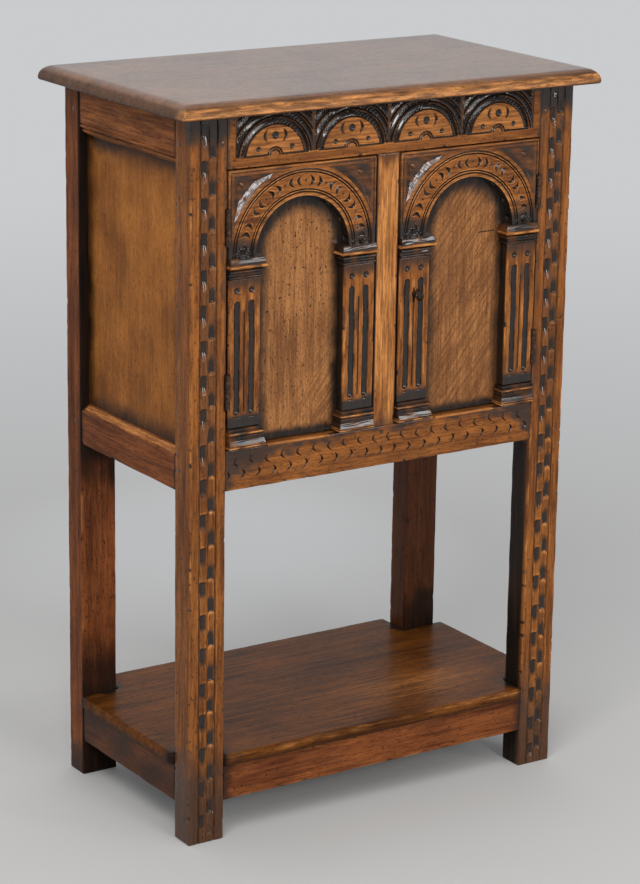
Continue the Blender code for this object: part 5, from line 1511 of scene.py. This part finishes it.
class SetStage(bpy.types.Operator):
    """Set the floor, the lamps and the camera"""

    bl_idname = "cabinet.set_stage"
    bl_label = "Stage"

    def execute(self, context):
        scene, stage = context.scene, context.scene.cabinet_stage
        self.floor(scene, stage)
        self.surround(scene, stage)
        for name, (place, size, setting) in LAMPS.items():
            self.lamp(scene, name, Vector(place), size, getattr(stage, setting))
        self.camera(scene, stage)
        scene.view_settings.view_transform = "Standard"
        return {"FINISHED"}

    @staticmethod
    def floor(scene, stage):
        """A round sheet: rings of growing radius about the foot of the cabinet."""
        turn = np.linspace(0, 2 * pi, 65)[:-1]
        size = stage.floor_radius * np.array([0.002, 0.02, 0.1, 0.4, 1])[:, None]
        points = np.stack((size * np.cos(turn), size * np.sin(turn), 0 * size * turn), -1)
        count, columns = points.shape[:2]
        faces = ring_faces(count, columns)[:-1]
        mesh = bpy.data.meshes.new("floor")
        mesh.from_pydata(points.reshape(-1, 3), [], [f[::-1] for f in faces])
        mesh.materials.append(SetStage.paper(stage))
        floor = bpy.data.objects.new("floor", mesh)
        scene.collection.objects.link(floor)

    @staticmethod
    def paper(stage):
        """Pale paper that takes the shadow near the cabinet and fades to the backdrop's own colour far away,
        and part of the way in the pool of light behind the cabinet."""
        g = Graph("floor_paper")
        place = g.place()
        tooth = g.noise(place, 6, 3)
        shown = g.mix(tooth.smooth(0.3, 0.7), opaque(np.array(stage.floor) * 0.985), opaque(stage.floor))
        near = g.node("ShaderNodeBsdfPrincipled", None, {"Base Color": shown, "Roughness": 0.7}, "BSDF")
        far = g.node("ShaderNodeEmission", None, {"Color": opaque(stage.backdrop)})
        rays = "Camera", "Glossy", "Transmission"
        seen = [g.node("ShaderNodeLightPath", output=f"Is {ray} Ray") for ray in rays]
        away = g.node("ShaderNodeVectorMath", {"operation": "LENGTH"}, {0: place}, "Value")
        ends = {0: place, 1: LIGHT_POOL}
        from_pool = g.node("ShaderNodeVectorMath", {"operation": "DISTANCE"}, ends, "Value")
        lit = away.smooth(-0.6, 4.2).most(from_pool.smooth(0.75, 0.10) * 0.55)
        share = seen[0].most(seen[1]).most(seen[2]) * lit
        return g.surface(g.node("ShaderNodeMixShader", None, {0: share, 1: near, 2: far}))

    @staticmethod
    def surround(scene, stage):
        """A room that brightens from the front, where the camera stands, to the wall behind. The camera sees
        the backdrop's colour in its place, so that the floor has no far edge."""
        world = bpy.data.worlds.new("surround")
        world.use_nodes = True
        g = Graph.of(world.node_tree)
        way = g.axis(g.node("ShaderNodeTexCoord", output="Generated"), "Y")
        shown = g.mix(way.smooth(-0.5, 0.8), opaque(stage.before), opaque(stage.behind))
        shown = g.mix(g.node("ShaderNodeLightPath", output="Is Camera Ray"), shown, opaque(stage.backdrop))
        g.surface(g.node("ShaderNodeBackground", None, {"Color": shown}), "ShaderNodeOutputWorld")
        scene.world = world

    @staticmethod
    def lamp(scene, name, place, size, watts):
        """A square softbox that is turned to the lamps' aim."""
        data = bpy.data.lights.new(name, "AREA")
        data.size = size
        data.energy = watts
        lamp = bpy.data.objects.new(name, data)
        lamp.location = place
        lamp.rotation_euler = (LAMP_AIM - place).to_track_quat("-Z", "Y").to_euler()
        scene.collection.objects.link(lamp)

    @staticmethod
    def camera(scene, stage):
        """The camera looks along its own -Z, so its axes are the turned X, Z and -Y of the room."""
        data = bpy.data.cameras.new("camera")
        data.lens = stage.lens
        data.sensor_width = 36
        turned = Matrix.Rotation(stage.turn, 3, "Z") @ Matrix.Rotation(stage.tilt, 3, "X")
        turned = turned @ Matrix.Rotation(stage.roll, 3, "Y")
        right, ahead, up = turned.col[0], turned.col[1], turned.col[2]
        camera = bpy.data.objects.new("camera", data)
        axes = Matrix((right, up, -ahead)).transposed()
        camera.matrix_world = Matrix.Translation(stage.eye) @ axes.to_4x4()
        scene.collection.objects.link(camera)
        scene.camera = camera


PIECES = (
    CarveFrontLegs,
    MakeBackLegs,
    CarveFrieze,
    CarveBottomRail,
    MakeRails,
    MakeMuntin,
    MakeTop,
    MakeShelf,
    CarveArches,
    CarvePilasters,
    MakeMouldings,
    FinishBoards,
    MakeIronwork,
    DrivePegs,
    SetStage,
)
GROUPS = {"cabinet_carving": CarvingSizes, "cabinet_tones": OakTones, "cabinet_stage": StageSettings}


class CabinetPanel(bpy.types.Panel):
    """Lists the cabinet's operators and settings in the sidebar"""

    bl_idname = "VIEW3D_PT_cabinet"
    bl_label = "Oak side cabinet"
    bl_space_type = "VIEW_3D"
    bl_region_type = "UI"
    bl_category = "Cabinet"

    def draw(self, context):
        for piece in PIECES:
            self.layout.operator(piece.bl_idname)
        for group, settings in GROUPS.items():
            box = self.layout.box()
            for name in settings.__annotations__:
                box.prop(getattr(context.scene, group), name)


CLASSES = (*GROUPS.values(), *PIECES, CabinetPanel)


def register():
    for made in CLASSES:
        bpy.utils.register_class(made)
    for name, group in GROUPS.items():
        setattr(bpy.types.Scene, name, PointerProperty(type=group))


def unregister():
    for name in GROUPS:
        delattr(bpy.types.Scene, name)
    for made in reversed(CLASSES):
        bpy.utils.unregister_class(made)


def main():
    """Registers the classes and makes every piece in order."""
    register()
    for piece in PIECES:
        family, name = piece.bl_idname.split(".")
        getattr(getattr(bpy.ops, family), name)()


if __name__ == "__main__":
    main()
